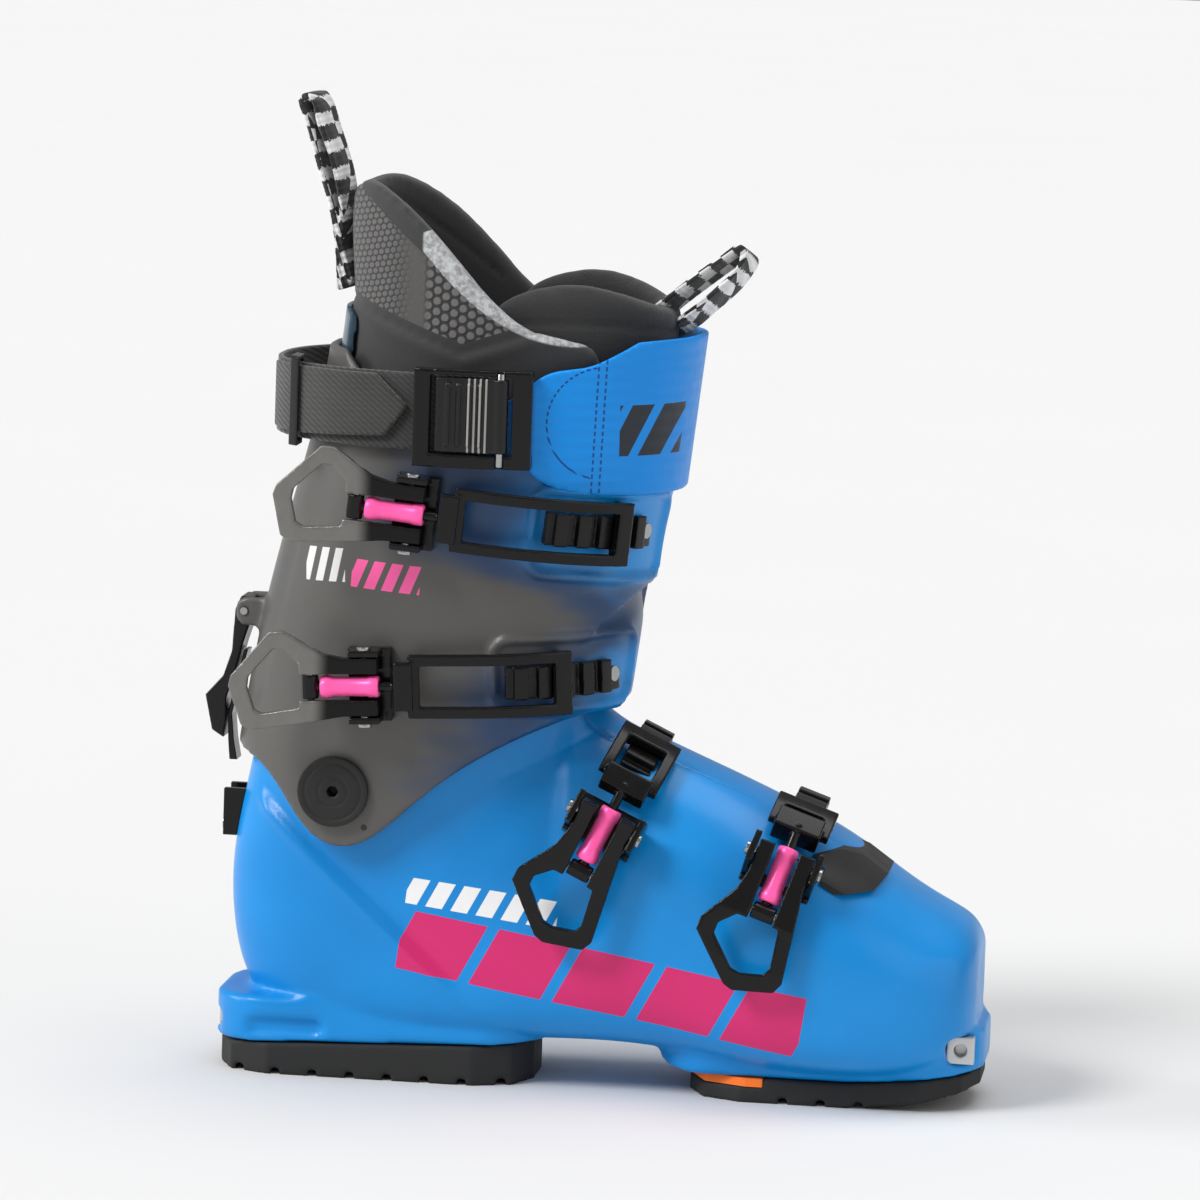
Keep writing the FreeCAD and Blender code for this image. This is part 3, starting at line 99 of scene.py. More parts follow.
# ---------------------------------------------------------------- material helper
class Finish:
    """A node material that is built up one node at a time."""

    def __init__(self, name, roughness=0.5, **constants):
        self.material = bpy.data.materials.new(name)
        self.material.use_nodes = True
        self.tree = self.material.node_tree
        self.shader = self.tree.nodes["Principled BSDF"]
        self.shader.inputs["Roughness"].default_value = roughness
        for socket, value in constants.items():
            self.shader.inputs[socket.replace("_", " ")].default_value = value
        self.place = self.add("ShaderNodeTexCoord").outputs["Object"]
        self.height = None
        split = self.add("ShaderNodeSeparateXYZ", {0: self.place})
        self.x, self.y, self.z = split.outputs

    def add(self, kind, inputs=None, **properties):
        made = self.tree.nodes.new(kind)
        for key, value in properties.items():
            setattr(made, key, value)
        for socket, value in (inputs or {}).items():
            if isinstance(value, bpy.types.NodeSocket):
                self.tree.links.new(value, made.inputs[socket])
            else:
                made.inputs[socket].default_value = value
        return made

    def sum(self, operation, a, b=0.0, c=0.0):
        return self.add("ShaderNodeMath", {0: a, 1: b, 2: c}, operation=operation).outputs[0]

    def step(self, value, low, high):
        """Smooth step from 0 at low to 1 at high."""
        return self.add("ShaderNodeMapRange", {0: value, 1: low, 2: high, 3: 0.0, 4: 1.0},
                        interpolation_type="SMOOTHSTEP").outputs[0]

    def stretched(self, scale, turn=(0, 0, 0)):
        inputs = {"Vector": self.place, "Scale": scale, "Rotation": turn}
        return self.add("ShaderNodeMapping", inputs).outputs[0]

    def noise(self, scale, detail=3.0, roughness=0.5, place=None):
        inputs = {"Vector": place or self.place, "Scale": scale, "Detail": detail, "Roughness": roughness}
        return self.add("ShaderNodeTexNoise", inputs).outputs["Fac"]

    def cells(self, scale, place=None, output="Distance", randomness=1.0, **properties):
        inputs = {"Vector": place or self.place, "Scale": scale, "Randomness": randomness}
        return self.add("ShaderNodeTexVoronoi", inputs, **properties).outputs[output]

    def wave(self, scale, place=None, distortion=0.0, **properties):
        inputs = {"Vector": place or self.place, "Scale": scale, "Distortion": distortion}
        return self.add("ShaderNodeTexWave", inputs, **properties).outputs["Fac"]

    def joined(self, x):
        """A vector with x alone, for bands that depend on one distance."""
        return self.add("ShaderNodeCombineXYZ", {0: x, 1: 0.0, 2: 0.0}).outputs[0]

    def mix(self, factor, a, b):
        made = self.add("ShaderNodeMix", data_type="RGBA")
        for socket, value in ((0, factor), (6, a), (7, b)):
            if isinstance(value, bpy.types.NodeSocket):
                self.tree.links.new(value, made.inputs[socket])
            elif socket == 0:
                made.inputs[socket].default_value = value
            else:
                made.inputs[socket].default_value = (*value, 1)
        return made.outputs[2]

    def colour(self, source):
        if isinstance(source, bpy.types.NodeSocket):
            self.tree.links.new(source, self.shader.inputs["Base Color"])
        else:
            self.shader.inputs["Base Color"].default_value = (*source, 1)
        return self

    def rough(self, source, low, high):
        spread = self.add("ShaderNodeMapRange", {0: source, 1: 0.25, 2: 0.75, 3: low, 4: high}).outputs[0]
        self.tree.links.new(spread, self.shader.inputs["Roughness"])
        return self

    def bump(self, height, distance, strength=1.0):
        """Adds a relief; distance is its depth in metres."""
        inputs = {"Height": height, "Distance": distance, "Strength": strength}
        if self.height is not None:
            inputs["Normal"] = self.height
        self.height = self.add("ShaderNodeBump", inputs).outputs[0]
        self.tree.links.new(self.height, self.shader.inputs["Normal"])
        return self


# The two shell blues are lit and shaded copies of one blue: painted light and shade, mixed at random by
# noise.
BLUE_LIT, BLUE_SHADED = (0.001, 0.262, 0.69), (0.0, 0.212, 0.585)
GREY = (0.085, 0.081, 0.075)
BLACK = (0.011, 0.0108, 0.0105)
NAVY = (0.006, 0.038, 0.115)
PINK = (0.93, 0.105, 0.36)
WHITE = (0.85, 0.85, 0.85)


def bands_of(pitch):
    """Scale of a wave texture whose bands repeat after about two pitches, in millimetres."""
    return 1000 / pitch / 6.28


def band(finish, start, angle, length, half_low, half_high, pitch, slant, share):
    """Slanted bars between two lines on the boot's outer side: a plain racing stripe."""
    turn = math.radians(angle)
    dx = finish.sum("SUBTRACT", finish.x, start[0] * MM)
    dz = finish.sum("SUBTRACT", finish.z, start[1] * MM)
    along = finish.sum("MULTIPLY_ADD", dx, math.cos(turn), finish.sum("MULTIPLY", dz, -math.sin(turn)))
    across = finish.sum("MULTIPLY_ADD", dz, math.cos(turn), finish.sum("MULTIPLY", dx, math.sin(turn)))
    half = finish.sum("MULTIPLY_ADD", along, (half_high - half_low) / length, half_low * MM)
    inside = finish.sum("LESS_THAN", finish.sum("ABSOLUTE", across), half)
    inside = finish.sum("MULTIPLY", inside, finish.sum("GREATER_THAN", along, 0.0))
    inside = finish.sum("MULTIPLY", inside, finish.sum("LESS_THAN", along, length * MM))
    inside = finish.sum("MULTIPLY", inside, finish.sum("LESS_THAN", finish.y, OUTER_SIDE))
    skewed = finish.sum("MULTIPLY_ADD", across, slant, along)
    bars = finish.sum("LESS_THAN", finish.sum("FRACT", finish.sum("DIVIDE", skewed, pitch * MM)), share)
    return finish.sum("MULTIPLY", inside, bars)


def shell_plastic():
    made = Finish("shell_blue", 0.36, Specular_IOR_Level=0.32, Coat_Weight=0.10, Coat_Roughness=0.16)
    clouds = made.noise(14, 2)
    # Noise mixes the lit and shaded blues: painted light and shade.
    base = made.mix(made.step(clouds, 0.3, 0.7), BLUE_SHADED, BLUE_LIT)
    stripe = band(made, (27, 59), 8.6, 163, 12.0, 12.6, 34, -0.35, 0.86)
    base = made.mix(stripe, base, (0.64, 0.018, 0.150))
    ticks = band(made, (29, 78.5), 6, 61, 5.2, 5.6, 10.2, -0.4, 0.66)
    base = made.mix(ticks, base, WHITE)
    scuffs = made.step(made.noise(260, 5, 0.7, made.stretched((1, 1, 4))), 0.66, 0.80)
    base = made.mix(made.sum("MULTIPLY", scuffs, 0.10), base, (0.45, 0.6, 0.8))
    made.colour(base).rough(made.noise(60, 4), 0.30, 0.42)
    made.bump(made.noise(900, 2), 0.00004, 0.6).bump(made.noise(45, 3), 0.00025, 0.5)
    return made.material


def cuff_plastic():
    """Anthracite that drifts like smoke into the shell's blue towards the front."""
    made = Finish("cuff_smoke", 0.40, Specular_IOR_Level=0.45, Coat_Weight=0.08, Coat_Roughness=0.3)
    drift = made.noise(9, 4, 0.55, made.stretched((0.55, 1, 1.9), (0, math.radians(-14), 0)))
    warp = made.sum("MULTIPLY", made.sum("SUBTRACT", drift, 0.5), 0.16)
    reach = made.sum("ADD", made.x, warp)
    between = made.sum("ABSOLUTE", made.sum("SUBTRACT", made.z, 0.193))
    smoke = made.sum("SUBTRACT", 1.0, made.step(between, 0.002, 0.026))
    reach = made.sum("SUBTRACT", reach, made.sum("MULTIPLY", smoke, 0.060))
    low = made.sum("SUBTRACT", 1.0, made.step(made.z, 0.150, 0.215))
    reach = made.sum("SUBTRACT", reach, made.sum("MULTIPLY", low, 0.020))
    # The blue here mixes the lit and shaded blues: painted light and shade.
    blue = made.mix(made.step(drift, 0.3, 0.7), BLUE_SHADED, BLUE_LIT)
    base = made.mix(made.step(reach, 0.012, 0.050), GREY, NAVY)
    base = made.mix(made.step(reach, 0.052, 0.098), base, blue)
    streaks = made.noise(16, 5, 0.6, made.stretched((0.4, 1, 2.4), (0, math.radians(-10), 0)))
    streaks = made.sum("MULTIPLY", made.step(streaks, 0.50, 0.66), made.sum("MULTIPLY", smoke, 0.55))
    base = made.mix(streaks, base, (0.075, 0.095, 0.125))
    # A black dot at the dimple: painted shade in its hollow.
    dimple_shade = ring_mask(made, (12.5, 104), 0.0, 1.3)
    base = made.mix(made.sum("MULTIPLY", dimple_shade, made.sum("LESS_THAN", made.y, OUTER_SIDE)), base, BLACK)
    white_marks = band(made, (-15, 206.5), -3, 17, 6.6, 6.6, 5.8, -0.25, 0.55)
    base = made.mix(white_marks, base, (0.7, 0.7, 0.7))
    pink_marks = band(made, (5, 205), 3, 28, 5.6, 5.6, 7.2, -0.35, 0.64)
    base = made.mix(pink_marks, base, PINK)
    made.colour(base).rough(made.noise(50, 4), 0.34, 0.46)
    made.bump(made.noise(1100, 2), 0.00004, 0.6).bump(made.noise(40, 3), 0.0002, 0.5)
    return made.material


def rubber(name, tint, grain=700):
    made = Finish(name, 0.72, Specular_IOR_Level=0.35)
    dust = made.noise(80, 5)
    made.colour(made.mix(dust, tint, tuple(c * 1.9 + 0.004 for c in tint))).rough(dust, 0.62, 0.85)
    made.bump(made.noise(grain, 3), 0.0001, 0.8)
    return made.material


def moulded_black(name, tint=BLACK, low=0.3, high=0.5):
    made = Finish(name, 0.4, Specular_IOR_Level=0.26)
    patches = made.noise(120, 4)
    made.colour(made.mix(patches, tint, tuple(c * 1.7 + 0.002 for c in tint))).rough(patches, low, high)
    made.bump(made.noise(1500, 2), 0.00003, 0.7)
    return made.material


def coated_metal(name, tint, metallic, low, high, dark_from=None):
    """Anodised metal with rubbed edges; past dark_from along the foot it turns black."""
    made = Finish(name, 0.35, Metallic=metallic, Specular_IOR_Level=0.24)
    flow = made.noise(160, 5, 0.65)
    edge = made.add("ShaderNodeNewGeometry").outputs["Pointiness"]
    worn = made.step(edge, 0.53, 0.62)
    base = made.mix(flow, tint, tuple(c * 1.4 + 0.002 for c in tint))
    base = made.mix(made.sum("MULTIPLY", worn, 0.35), base, tuple(min(1, c * 2.5 + 0.03) for c in tint))
    if dark_from is not None:
        base = made.mix(made.step(made.x, dark_from - 0.004, dark_from + 0.003), base, BLACK)
    made.colour(base).rough(flow, low, high).bump(made.noise(2200, 2), 0.00002, 0.6)
    return made.material


def cam_plate():
    """Glossy black plate with four raised ribs; the pale lines along them are painted highlights."""
    made = Finish("cam_plate_black", 0.25, Specular_IOR_Level=0.3)
    ribs_and_highlights = band(made, (51.4, 257), 0, 8.8, 30, 30, 2.25, 0.0, 0.36)
    wear = made.noise(150, 4)
    base = made.mix(wear, (0.005, 0.005, 0.005), (0.011, 0.011, 0.011))
    # The pale lines along the ribs are painted highlights.
    made.colour(made.mix(ribs_and_highlights, base, (0.30, 0.29, 0.27))).rough(wear, 0.2, 0.34)
    made.bump(ribs_and_highlights, 0.0003, 0.8).bump(made.noise(1500, 2), 0.00003, 0.7)
    return made.material


def bright_steel():
    made = Finish("polished_steel", 0.2, Metallic=1.0)
    marks = made.noise(300, 5, place=made.stretched((1, 6, 1)))
    made.colour(made.mix(marks, (0.22, 0.22, 0.22), (0.50, 0.50, 0.50))).rough(marks, 0.12, 0.3)
    made.bump(marks, 0.00002, 0.5)
    return made.material


def webbing(name, dark, light, pitch=1.1):
    """Twill webbing: fine slanted ribs crossed by the yarns."""
    made = Finish(name, 0.82, Sheen_Weight=0.35, Sheen_Roughness=0.5)
    scale = bands_of(pitch)
    ribs = made.wave(scale, made.stretched((1, 1, 1), (0, math.radians(52), 0)), bands_direction="X")
    yarns = made.wave(scale * 1.7, made.stretched((1, 1, 1), (0, math.radians(-20), 0)), bands_direction="Z")
    weave = made.sum("MULTIPLY", ribs, made.sum("MULTIPLY_ADD", yarns, 0.5, 0.5))
    dirt = made.noise(60, 4)
    base = made.mix(weave, dark, light)
    made.colour(made.mix(made.sum("MULTIPLY", dirt, 0.25), base, light)).rough(dirt, 0.7, 0.95)
    made.bump(weave, 0.00025, 0.9)
    return made.material


def ring_mask(finish, centre, radius, half):
    """A thin ring on the boot's side round a point."""
    dx = finish.sum("SUBTRACT", finish.x, centre[0] * MM)
    dz = finish.sum("SUBTRACT", finish.z, centre[1] * MM)
    squares = finish.sum("ADD", finish.sum("MULTIPLY", dx, dx), finish.sum("MULTIPLY", dz, dz))
    off_line = finish.sum("ABSOLUTE", finish.sum("SUBTRACT", finish.sum("SQRT", squares), radius * MM))
    return finish.sum("LESS_THAN", off_line, half * MM)


def strap_leather():
    """Coated strap: fine level ribs, a ribbed neck, and a double and a curved row of stitches."""
    made = Finish("strap_panel_blue", 0.45, Specular_IOR_Level=0.28)
    ribs = made.wave(bands_of(2.6), made.stretched((0.15, 0.15, 1), (0, math.radians(4), 0)), 0.6,
                     bands_direction="Z")
    grain = made.cells(900, output="Distance")
    base = made.mix(made.noise(30, 3), (0.0, 0.225, 0.70), (0.001, 0.262, 0.77))
    emblem = band(made, (108, 265), 0, 24, 10, 10, 11, -0.45, 0.7)
    base = made.mix(emblem, base, (0.020, 0.026, 0.036))
    slope = made.sum("MULTIPLY_ADD", made.z, -0.036, made.x)
    rows = made.sum("LESS_THAN", made.sum("ABSOLUTE", made.sum("SUBTRACT", slope, 0.0895)), 0.00035)
    second = made.sum("LESS_THAN", made.sum("ABSOLUTE", made.sum("SUBTRACT", slope, 0.0924)), 0.00035)
    upright = made.sum("LESS_THAN", made.sum("FRACT", made.sum("DIVIDE", made.z, 0.0028)), 0.6)
    turn = made.sum("MULTIPLY", ring_mask(made, (103, 268), 22, 0.35), made.sum("LESS_THAN", slope, 0.0895))
    diagonal = made.sum("DIVIDE", made.sum("ADD", made.x, made.z), 0.0032)
    level = made.sum("LESS_THAN", made.sum("FRACT", diagonal), 0.6)
    stitch = made.sum("MULTIPLY", made.sum("MAXIMUM", rows, second), upright)
    stitch = made.sum("MAXIMUM", stitch, made.sum("MULTIPLY", turn, level))
    stitch = made.sum("MULTIPLY", stitch, made.sum("LESS_THAN", made.y, OUTER_SIDE))
    base = made.mix(stitch, base, (0.004, 0.06, 0.26))
    neck = made.sum("SUBTRACT", 1.0, made.step(made.x, 0.074, 0.078))
    folds = made.sum("MULTIPLY", made.wave(bands_of(3.4), made.place, bands_direction="X"), neck)
    base = made.mix(made.sum("MULTIPLY", neck, 0.45), base, (0.004, 0.11, 0.42))
    made.colour(base).rough(made.noise(200, 3), 0.36, 0.5)
    made.bump(ribs, 0.00018, 0.7).bump(grain, 0.00005, 0.6).bump(folds, 0.0006, 0.9).bump(stitch, 0.0004, 1.0)
    return made.material


def speckled_braid(name, angle):
    """Black and white braided webbing: staggered blocks of both yarns along the loop."""
    made = Finish(name, 0.85, Sheen_Weight=0.2)
    turn = math.radians(angle)
    along = made.sum("MULTIPLY_ADD", made.x, math.cos(turn), made.sum("MULTIPLY", made.z, math.sin(turn)))
    across = made.sum("MULTIPLY_ADD", made.z, math.cos(turn), made.sum("MULTIPLY", made.x, -math.sin(turn)))
    across = made.sum("MULTIPLY_ADD", made.y, 0.55, across)
    ragged = made.sum("MULTIPLY", made.noise(700, 2, 0.6), 0.004)
    lane = made.sum("FLOOR", made.sum("DIVIDE", across, 0.0027))
    shift = made.sum("MULTIPLY", lane, 0.0049)
    reach = made.sum("ADD", made.sum("ADD", along, shift), ragged)
    cell = made.sum("FRACT", made.sum("DIVIDE", reach, 0.0112))
    white = made.sum("LESS_THAN", cell, 0.44)
    threads = made.wave(bands_of(1.1), made.joined(across))
    picks = made.wave(bands_of(1.3), made.joined(along))
    base = made.mix(white, (0.010, 0.010, 0.011), (0.80, 0.80, 0.79))
    made.colour(made.mix(made.sum("MULTIPLY", threads, 0.22), base, (0.07, 0.07, 0.07)))
    made.bump(made.sum("ADD", threads, made.sum("MULTIPLY", picks, 0.6)), 0.0004, 0.9)
    return made.material


def hex_lattice(finish, pitch, angle):
    """Distance in the side view to the nearest point of a hexagonal lattice, in units of its pitch."""
    turn = math.radians(angle)
    u = finish.sum("MULTIPLY_ADD", finish.x, math.cos(turn) / (pitch * MM), finish.sum(
        "MULTIPLY", finish.z, math.sin(turn) / (pitch * MM)))
    v = finish.sum("MULTIPLY_ADD", finish.z, math.cos(turn) / (pitch * MM * 1.732), finish.sum(
        "MULTIPLY", finish.x, -math.sin(turn) / (pitch * MM * 1.732)))
    squares = []
    for shift in (0.0, 0.5):
        du = finish.sum("SUBTRACT", finish.sum("FRACT", finish.sum("ADD", u, shift)), 0.5)
        dv = finish.sum("SUBTRACT", finish.sum("FRACT", finish.sum("ADD", v, shift)), 0.5)
        squares.append(finish.sum("ADD", finish.sum("MULTIPLY", du, du), finish.sum(
            "MULTIPLY", finish.sum("MULTIPLY", dv, dv), 3.0)))
    return finish.sum("SQRT", finish.sum("MINIMUM", *squares))


# Edges of the liner's panels in the side view, in metres. A line is (slope, height at x 0).
FELT_LOW_POINT = (0.09, 0.2972)
FELT_SAG = 9.3
FELT_REAR_LINE = (-0.84, 0.3725)
FELT_TOP_POINT = (0.0355, 0.3402)
FELT_TOP_CURVE = -32.0
FELT_FULL_HEIGHT_FROM = 0.0505
COLLAR_LINE = (-0.80, 0.3540)
HEM_DIP = 0.046
HEM_LINE = (0.34, 0.2965)


def liner_fabric():
    """Smooth black collar, netted rear panel, light felt panel, dotted panel and a felt binding."""
    made = Finish("liner_fabric", 0.72, Sheen_Weight=0.15, Sheen_Roughness=0.6)
    outside = made.sum("LESS_THAN", made.y, -0.018)
    dots = hex_lattice(made, 4.1, 28)
    net = hex_lattice(made, 2.7, 12)
    fibre = made.noise(1400, 4, 0.7)
    from_low = made.sum("SUBTRACT", made.x, FELT_LOW_POINT[0])
    sag = made.sum("MULTIPLY", from_low, from_low)
    line = made.sum("MULTIPLY_ADD", sag, FELT_SAG, FELT_LOW_POINT[1])
    over = made.sum("SUBTRACT", made.z, line)
    below_felt = made.sum("SUBTRACT", 1.0, made.step(over, -0.0006, 0.0004))
    ahead = made.step(made.x, 0.0285, 0.0295)
    felt = made.sum("MULTIPLY", made.step(over, -0.0006, 0.0004), ahead)
    end = made.sum("MULTIPLY_ADD", made.x, *FELT_REAR_LINE)
    from_top = made.sum("SUBTRACT", made.x, FELT_TOP_POINT[0])
    drop = made.sum("MULTIPLY", from_top, from_top)
    cap = made.sum("MULTIPLY_ADD", drop, FELT_TOP_CURVE, FELT_TOP_POINT[1])
    low_enough = made.sum("MULTIPLY", made.sum("LESS_THAN", made.z, end), made.sum("LESS_THAN", made.z, cap))
    forward = made.sum("GREATER_THAN", made.x, FELT_FULL_HEIGHT_FROM)
    felt = made.sum("MULTIPLY", felt, made.sum("MAXIMUM", low_enough, forward))
    collar = made.sum("MULTIPLY_ADD", made.x, *COLLAR_LINE)
    rear = made.sum("MULTIPLY", below_felt, made.sum("LESS_THAN", made.z, collar))
    from_dip = made.sum("ABSOLUTE", made.sum("SUBTRACT", made.x, HEM_DIP))
    hem = made.sum("GREATER_THAN", made.z, made.sum("MULTIPLY_ADD", from_dip, *HEM_LINE))
    rear = made.sum("MULTIPLY", rear, hem)
    front = made.step(made.x, 0.029, 0.034)
    dotted = made.sum("MULTIPLY", rear, front)
    netted = made.sum("MULTIPLY", rear, made.sum("SUBTRACT", 1.0, made.step(made.x, 0.013, 0.027)))
    smooth = made.sum("SUBTRACT", rear, made.sum("MAXIMUM", dotted, netted))
    felt = made.sum("MULTIPLY", felt, outside)
    dotted = made.sum("MULTIPLY", dotted, outside)
    netted = made.sum("MULTIPLY", netted, outside)
    smooth = made.sum("MULTIPLY", smooth, outside)
    cloth = made.mix(fibre, (0.007, 0.007, 0.0075), (0.017, 0.017, 0.018))
    base = made.mix(smooth, cloth, (0.055, 0.052, 0.050))
    netting = made.mix(made.step(net, 0.36, 0.46), (0.090, 0.086, 0.084), (0.013, 0.012, 0.012))
    base = made.mix(netted, base, netting)
    knobs = made.mix(made.step(dots, 0.34, 0.44), (0.105, 0.10, 0.098), (0.006, 0.006, 0.006))
    base = made.mix(dotted, base, knobs)
    flecks = made.step(made.noise(420, 5, 0.7), 0.38, 0.62)
    heather = made.mix(flecks, (0.22, 0.225, 0.23), (0.45, 0.465, 0.47))
    made.colour(made.mix(felt, base, heather)).rough(fibre, 0.60, 0.88)
    relief = made.sum("MULTIPLY", made.sum("SUBTRACT", 1.0, made.step(dots, 0.28, 0.46)), dotted)
    mesh_relief = made.sum("MULTIPLY", made.sum("SUBTRACT", 1.0, made.step(net, 0.28, 0.46)), netted)
    relief = made.sum("MULTIPLY_ADD", mesh_relief, 0.5, relief)
    made.bump(relief, 0.0010, 0.9).bump(fibre, 0.00012, 0.8)
    return made.material


def plain_cloth(name, dark, light):
    made = Finish(name, 0.85, Sheen_Weight=0.15, Sheen_Roughness=0.5)
    fibre = made.noise(1500, 4, 0.7)
    weave = made.cells(1300)
    made.colour(made.mix(fibre, dark, light)).rough(fibre, 0.75, 0.95)
    made.bump(made.sum("ADD", fibre, weave), 0.0002, 0.9)
    return made.material


MATERIALS = {
    "shell": shell_plastic(), "cuff": cuff_plastic(), "liner": liner_fabric(), "panel": strap_leather(),
    "rear_braid": speckled_braid("rear_braid", 108), "tongue_braid": speckled_braid("tongue_braid", 37),
    "steel": bright_steel(),
    "rubber": rubber("sole_rubber_black", (0.012, 0.012, 0.012)),
    "orange": rubber("grip_rubber_orange", (0.72, 0.14, 0.015)),
    "black": moulded_black("nylon_black", (0.0042, 0.0041, 0.0040), 0.20, 0.34),
    "plate": cam_plate(),
    "board": moulded_black("board_grey", (0.03, 0.03, 0.03)),
    "spine": moulded_black("spine_blue_grey", (0.02, 0.045, 0.07), 0.12, 0.25),
    "guard": moulded_black("guard_charcoal", (0.014, 0.0135, 0.013), 0.4, 0.6),
    "satin": coated_metal("satin_black_metal", (0.0032, 0.0031, 0.0030), 0.0, 0.10, 0.24),
    "upper_grey": coated_metal("upper_grey_metal", (0.150, 0.146, 0.138), 0.55, 0.26, 0.38, 0.013),
    "lower_grey": coated_metal("lower_grey_metal", (0.150, 0.146, 0.138), 0.55, 0.26, 0.38, -0.003),
    "pink": coated_metal("anodised_pink", PINK, 0.12, 0.24, 0.36),
    "insert": coated_metal("insert_steel_grey", (0.5, 0.5, 0.49), 0.7, 0.3, 0.45),
    "strap": webbing("strap_twill", (0.015, 0.0145, 0.014), (0.044, 0.043, 0.041), 0.9),
    "felt": plain_cloth("binding_felt", (0.006, 0.006, 0.006), (0.022, 0.022, 0.022)),
    "tongue": plain_cloth("tongue_cloth", (0.012, 0.012, 0.012), (0.040, 0.040, 0.040)),
}


# ---------------------------------------------------------------- mesh helpers
def new_piece(name, mesh, body, material=None):
    piece = bpy.data.objects.new(name, mesh)
    bpy.context.scene.collection.objects.link(piece)
    if material:
        mesh.materials.clear()
        mesh.materials.append(MATERIALS[material])
    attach(piece, body)
    return piece


def settle(piece):
    """Applies a piece's modifiers to its mesh."""
    bpy.context.view_layer.update()
    shown = piece.evaluated_get(bpy.context.evaluated_depsgraph_get())
    old = piece.data
    piece.modifiers.clear()
    made = bpy.data.meshes.new_from_object(shown)
    piece.data = made
    bpy.data.meshes.remove(old)


def points_of(mesh):
    flat = np.empty(len(mesh.vertices) * 3)
    mesh.vertices.foreach_get("co", flat)
    return flat.reshape(-1, 3)


def normals_of(mesh):
    flat = np.empty(len(mesh.vertices) * 3)
    mesh.vertices.foreach_get("normal", flat)
    return flat.reshape(-1, 3)


def set_points(mesh, points):
    mesh.vertices.foreach_set("co", points.ravel())
    mesh.update()


def smooth_shade(mesh):
    mesh.polygons.foreach_set("use_smooth", [True] * len(mesh.polygons))


def moulded(node, name, voxel, rounds, material):
    """A softly rounded copy of a CAD node, as an even mesh of small quads that replaces it."""
    source = NODES[node]
    mesh = source.data.copy()
    piece = new_piece(name, mesh, BODY_OF[node], material)
    remesh = piece.modifiers.new("remesh", "REMESH")
    remesh.mode = "VOXEL"
    remesh.voxel_size = voxel * MM
    if rounds:
        soften = piece.modifiers.new("soften", "SMOOTH")
        soften.factor = 0.5
        soften.iterations = rounds
    settle(piece)
    piece.data.materials.clear()
    piece.data.materials.append(MATERIALS[material])
    smooth_shade(piece.data)
    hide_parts(node)
    return piece


def sculpt(piece, offset):
    """Moves every point along its normal by offset(points, normals), in metres."""
    points, normals = points_of(piece.data), normals_of(piece.data)
    set_points(piece.data, points + normals * offset(points, normals)[:, None])


def smooth_step(value, low, high):
    t = np.clip((value - low) / (high - low), 0, 1)
    return t * t * (3 - 2 * t)


def dress(node, material, bevel=0.0):
    """Keeps a CAD node's own shape, with its material and lightly rounded edges."""
    piece = NODES[node]
    piece.data.materials.clear()
    piece.data.materials.append(MATERIALS[material])
    if bevel:
        weld = piece.modifiers.new("weld", "WELD")
        weld.merge_threshold = 0.01 * MM
        edge = piece.modifiers.new("edge", "BEVEL")
        edge.width = bevel * MM
        edge.segments = 2
        edge.limit_method = "ANGLE"
        edge.angle_limit = math.radians(40)
        edge.harden_normals = False


# ---------------------------------------------------------------- places of the buckles
def turned(degrees):
    """The +X and +Z directions turned nose-down about Y."""
    turn = math.radians(degrees)
    return np.array((math.cos(turn), 0, -math.sin(turn))), np.array((math.sin(turn), 0, math.cos(turn)))


def wrap(points, centre, lean, radius, lead):
    """Distance round the leg from the lever's pin, and distance along the pin, of each point."""
    forward, axis = turned(lean)
    rel = points - np.array((centre[0], 0, centre[1])) * MM
    ahead = rel @ forward
    angle = np.arctan2(ahead, -rel[:, 1])
    along = np.where(angle > 0, lead * MM + radius * MM * angle, lead * MM + ahead)
    return along, rel @ axis


UPPER_WRAP = dict(centre=(57.2, 229.1), lean=5, radius=63.5, lead=27.3)
LOWER_WRAP = dict(centre=(53.9, 164.2), lean=-3, radius=57.0, lead=40.4)
LADDER_RIMS = (  # low and high corner of the rim round each catch ladder, in millimetres of its wrap
    (UPPER_WRAP, (47, -19), (116, 15)),
    (LOWER_WRAP, (49, -12), (116, 17)),
)


def rounded_box(u, v, low, high, corner):
    """Signed distance to a rounded rectangle, negative inside."""
    middle = ((low[0] + high[0]) / 2, (low[1] + high[1]) / 2)
    half = ((high[0] - low[0]) / 2 - corner, (high[1] - low[1]) / 2 - corner)
    du, dv = np.abs(u - middle[0]) - half[0], np.abs(v - middle[1]) - half[1]
    outside = np.hypot(np.maximum(du, 0), np.maximum(dv, 0))
    return outside + np.minimum(np.maximum(du, dv), 0) - corner


def line_distance(points, start, end):
    """Signed distance in the side view from a line, and the share of the way along it."""
    ax, az = np.array(start) * MM
    bx, bz = np.array(end) * MM
    length = math.hypot(bx - ax, bz - az)
    ux, uz = (bx - ax) / length, (bz - az) / length
    dx, dz = points[:, 0] - ax, points[:, 2] - az
    return dz * ux - dx * uz, (dx * ux + dz * uz) / length


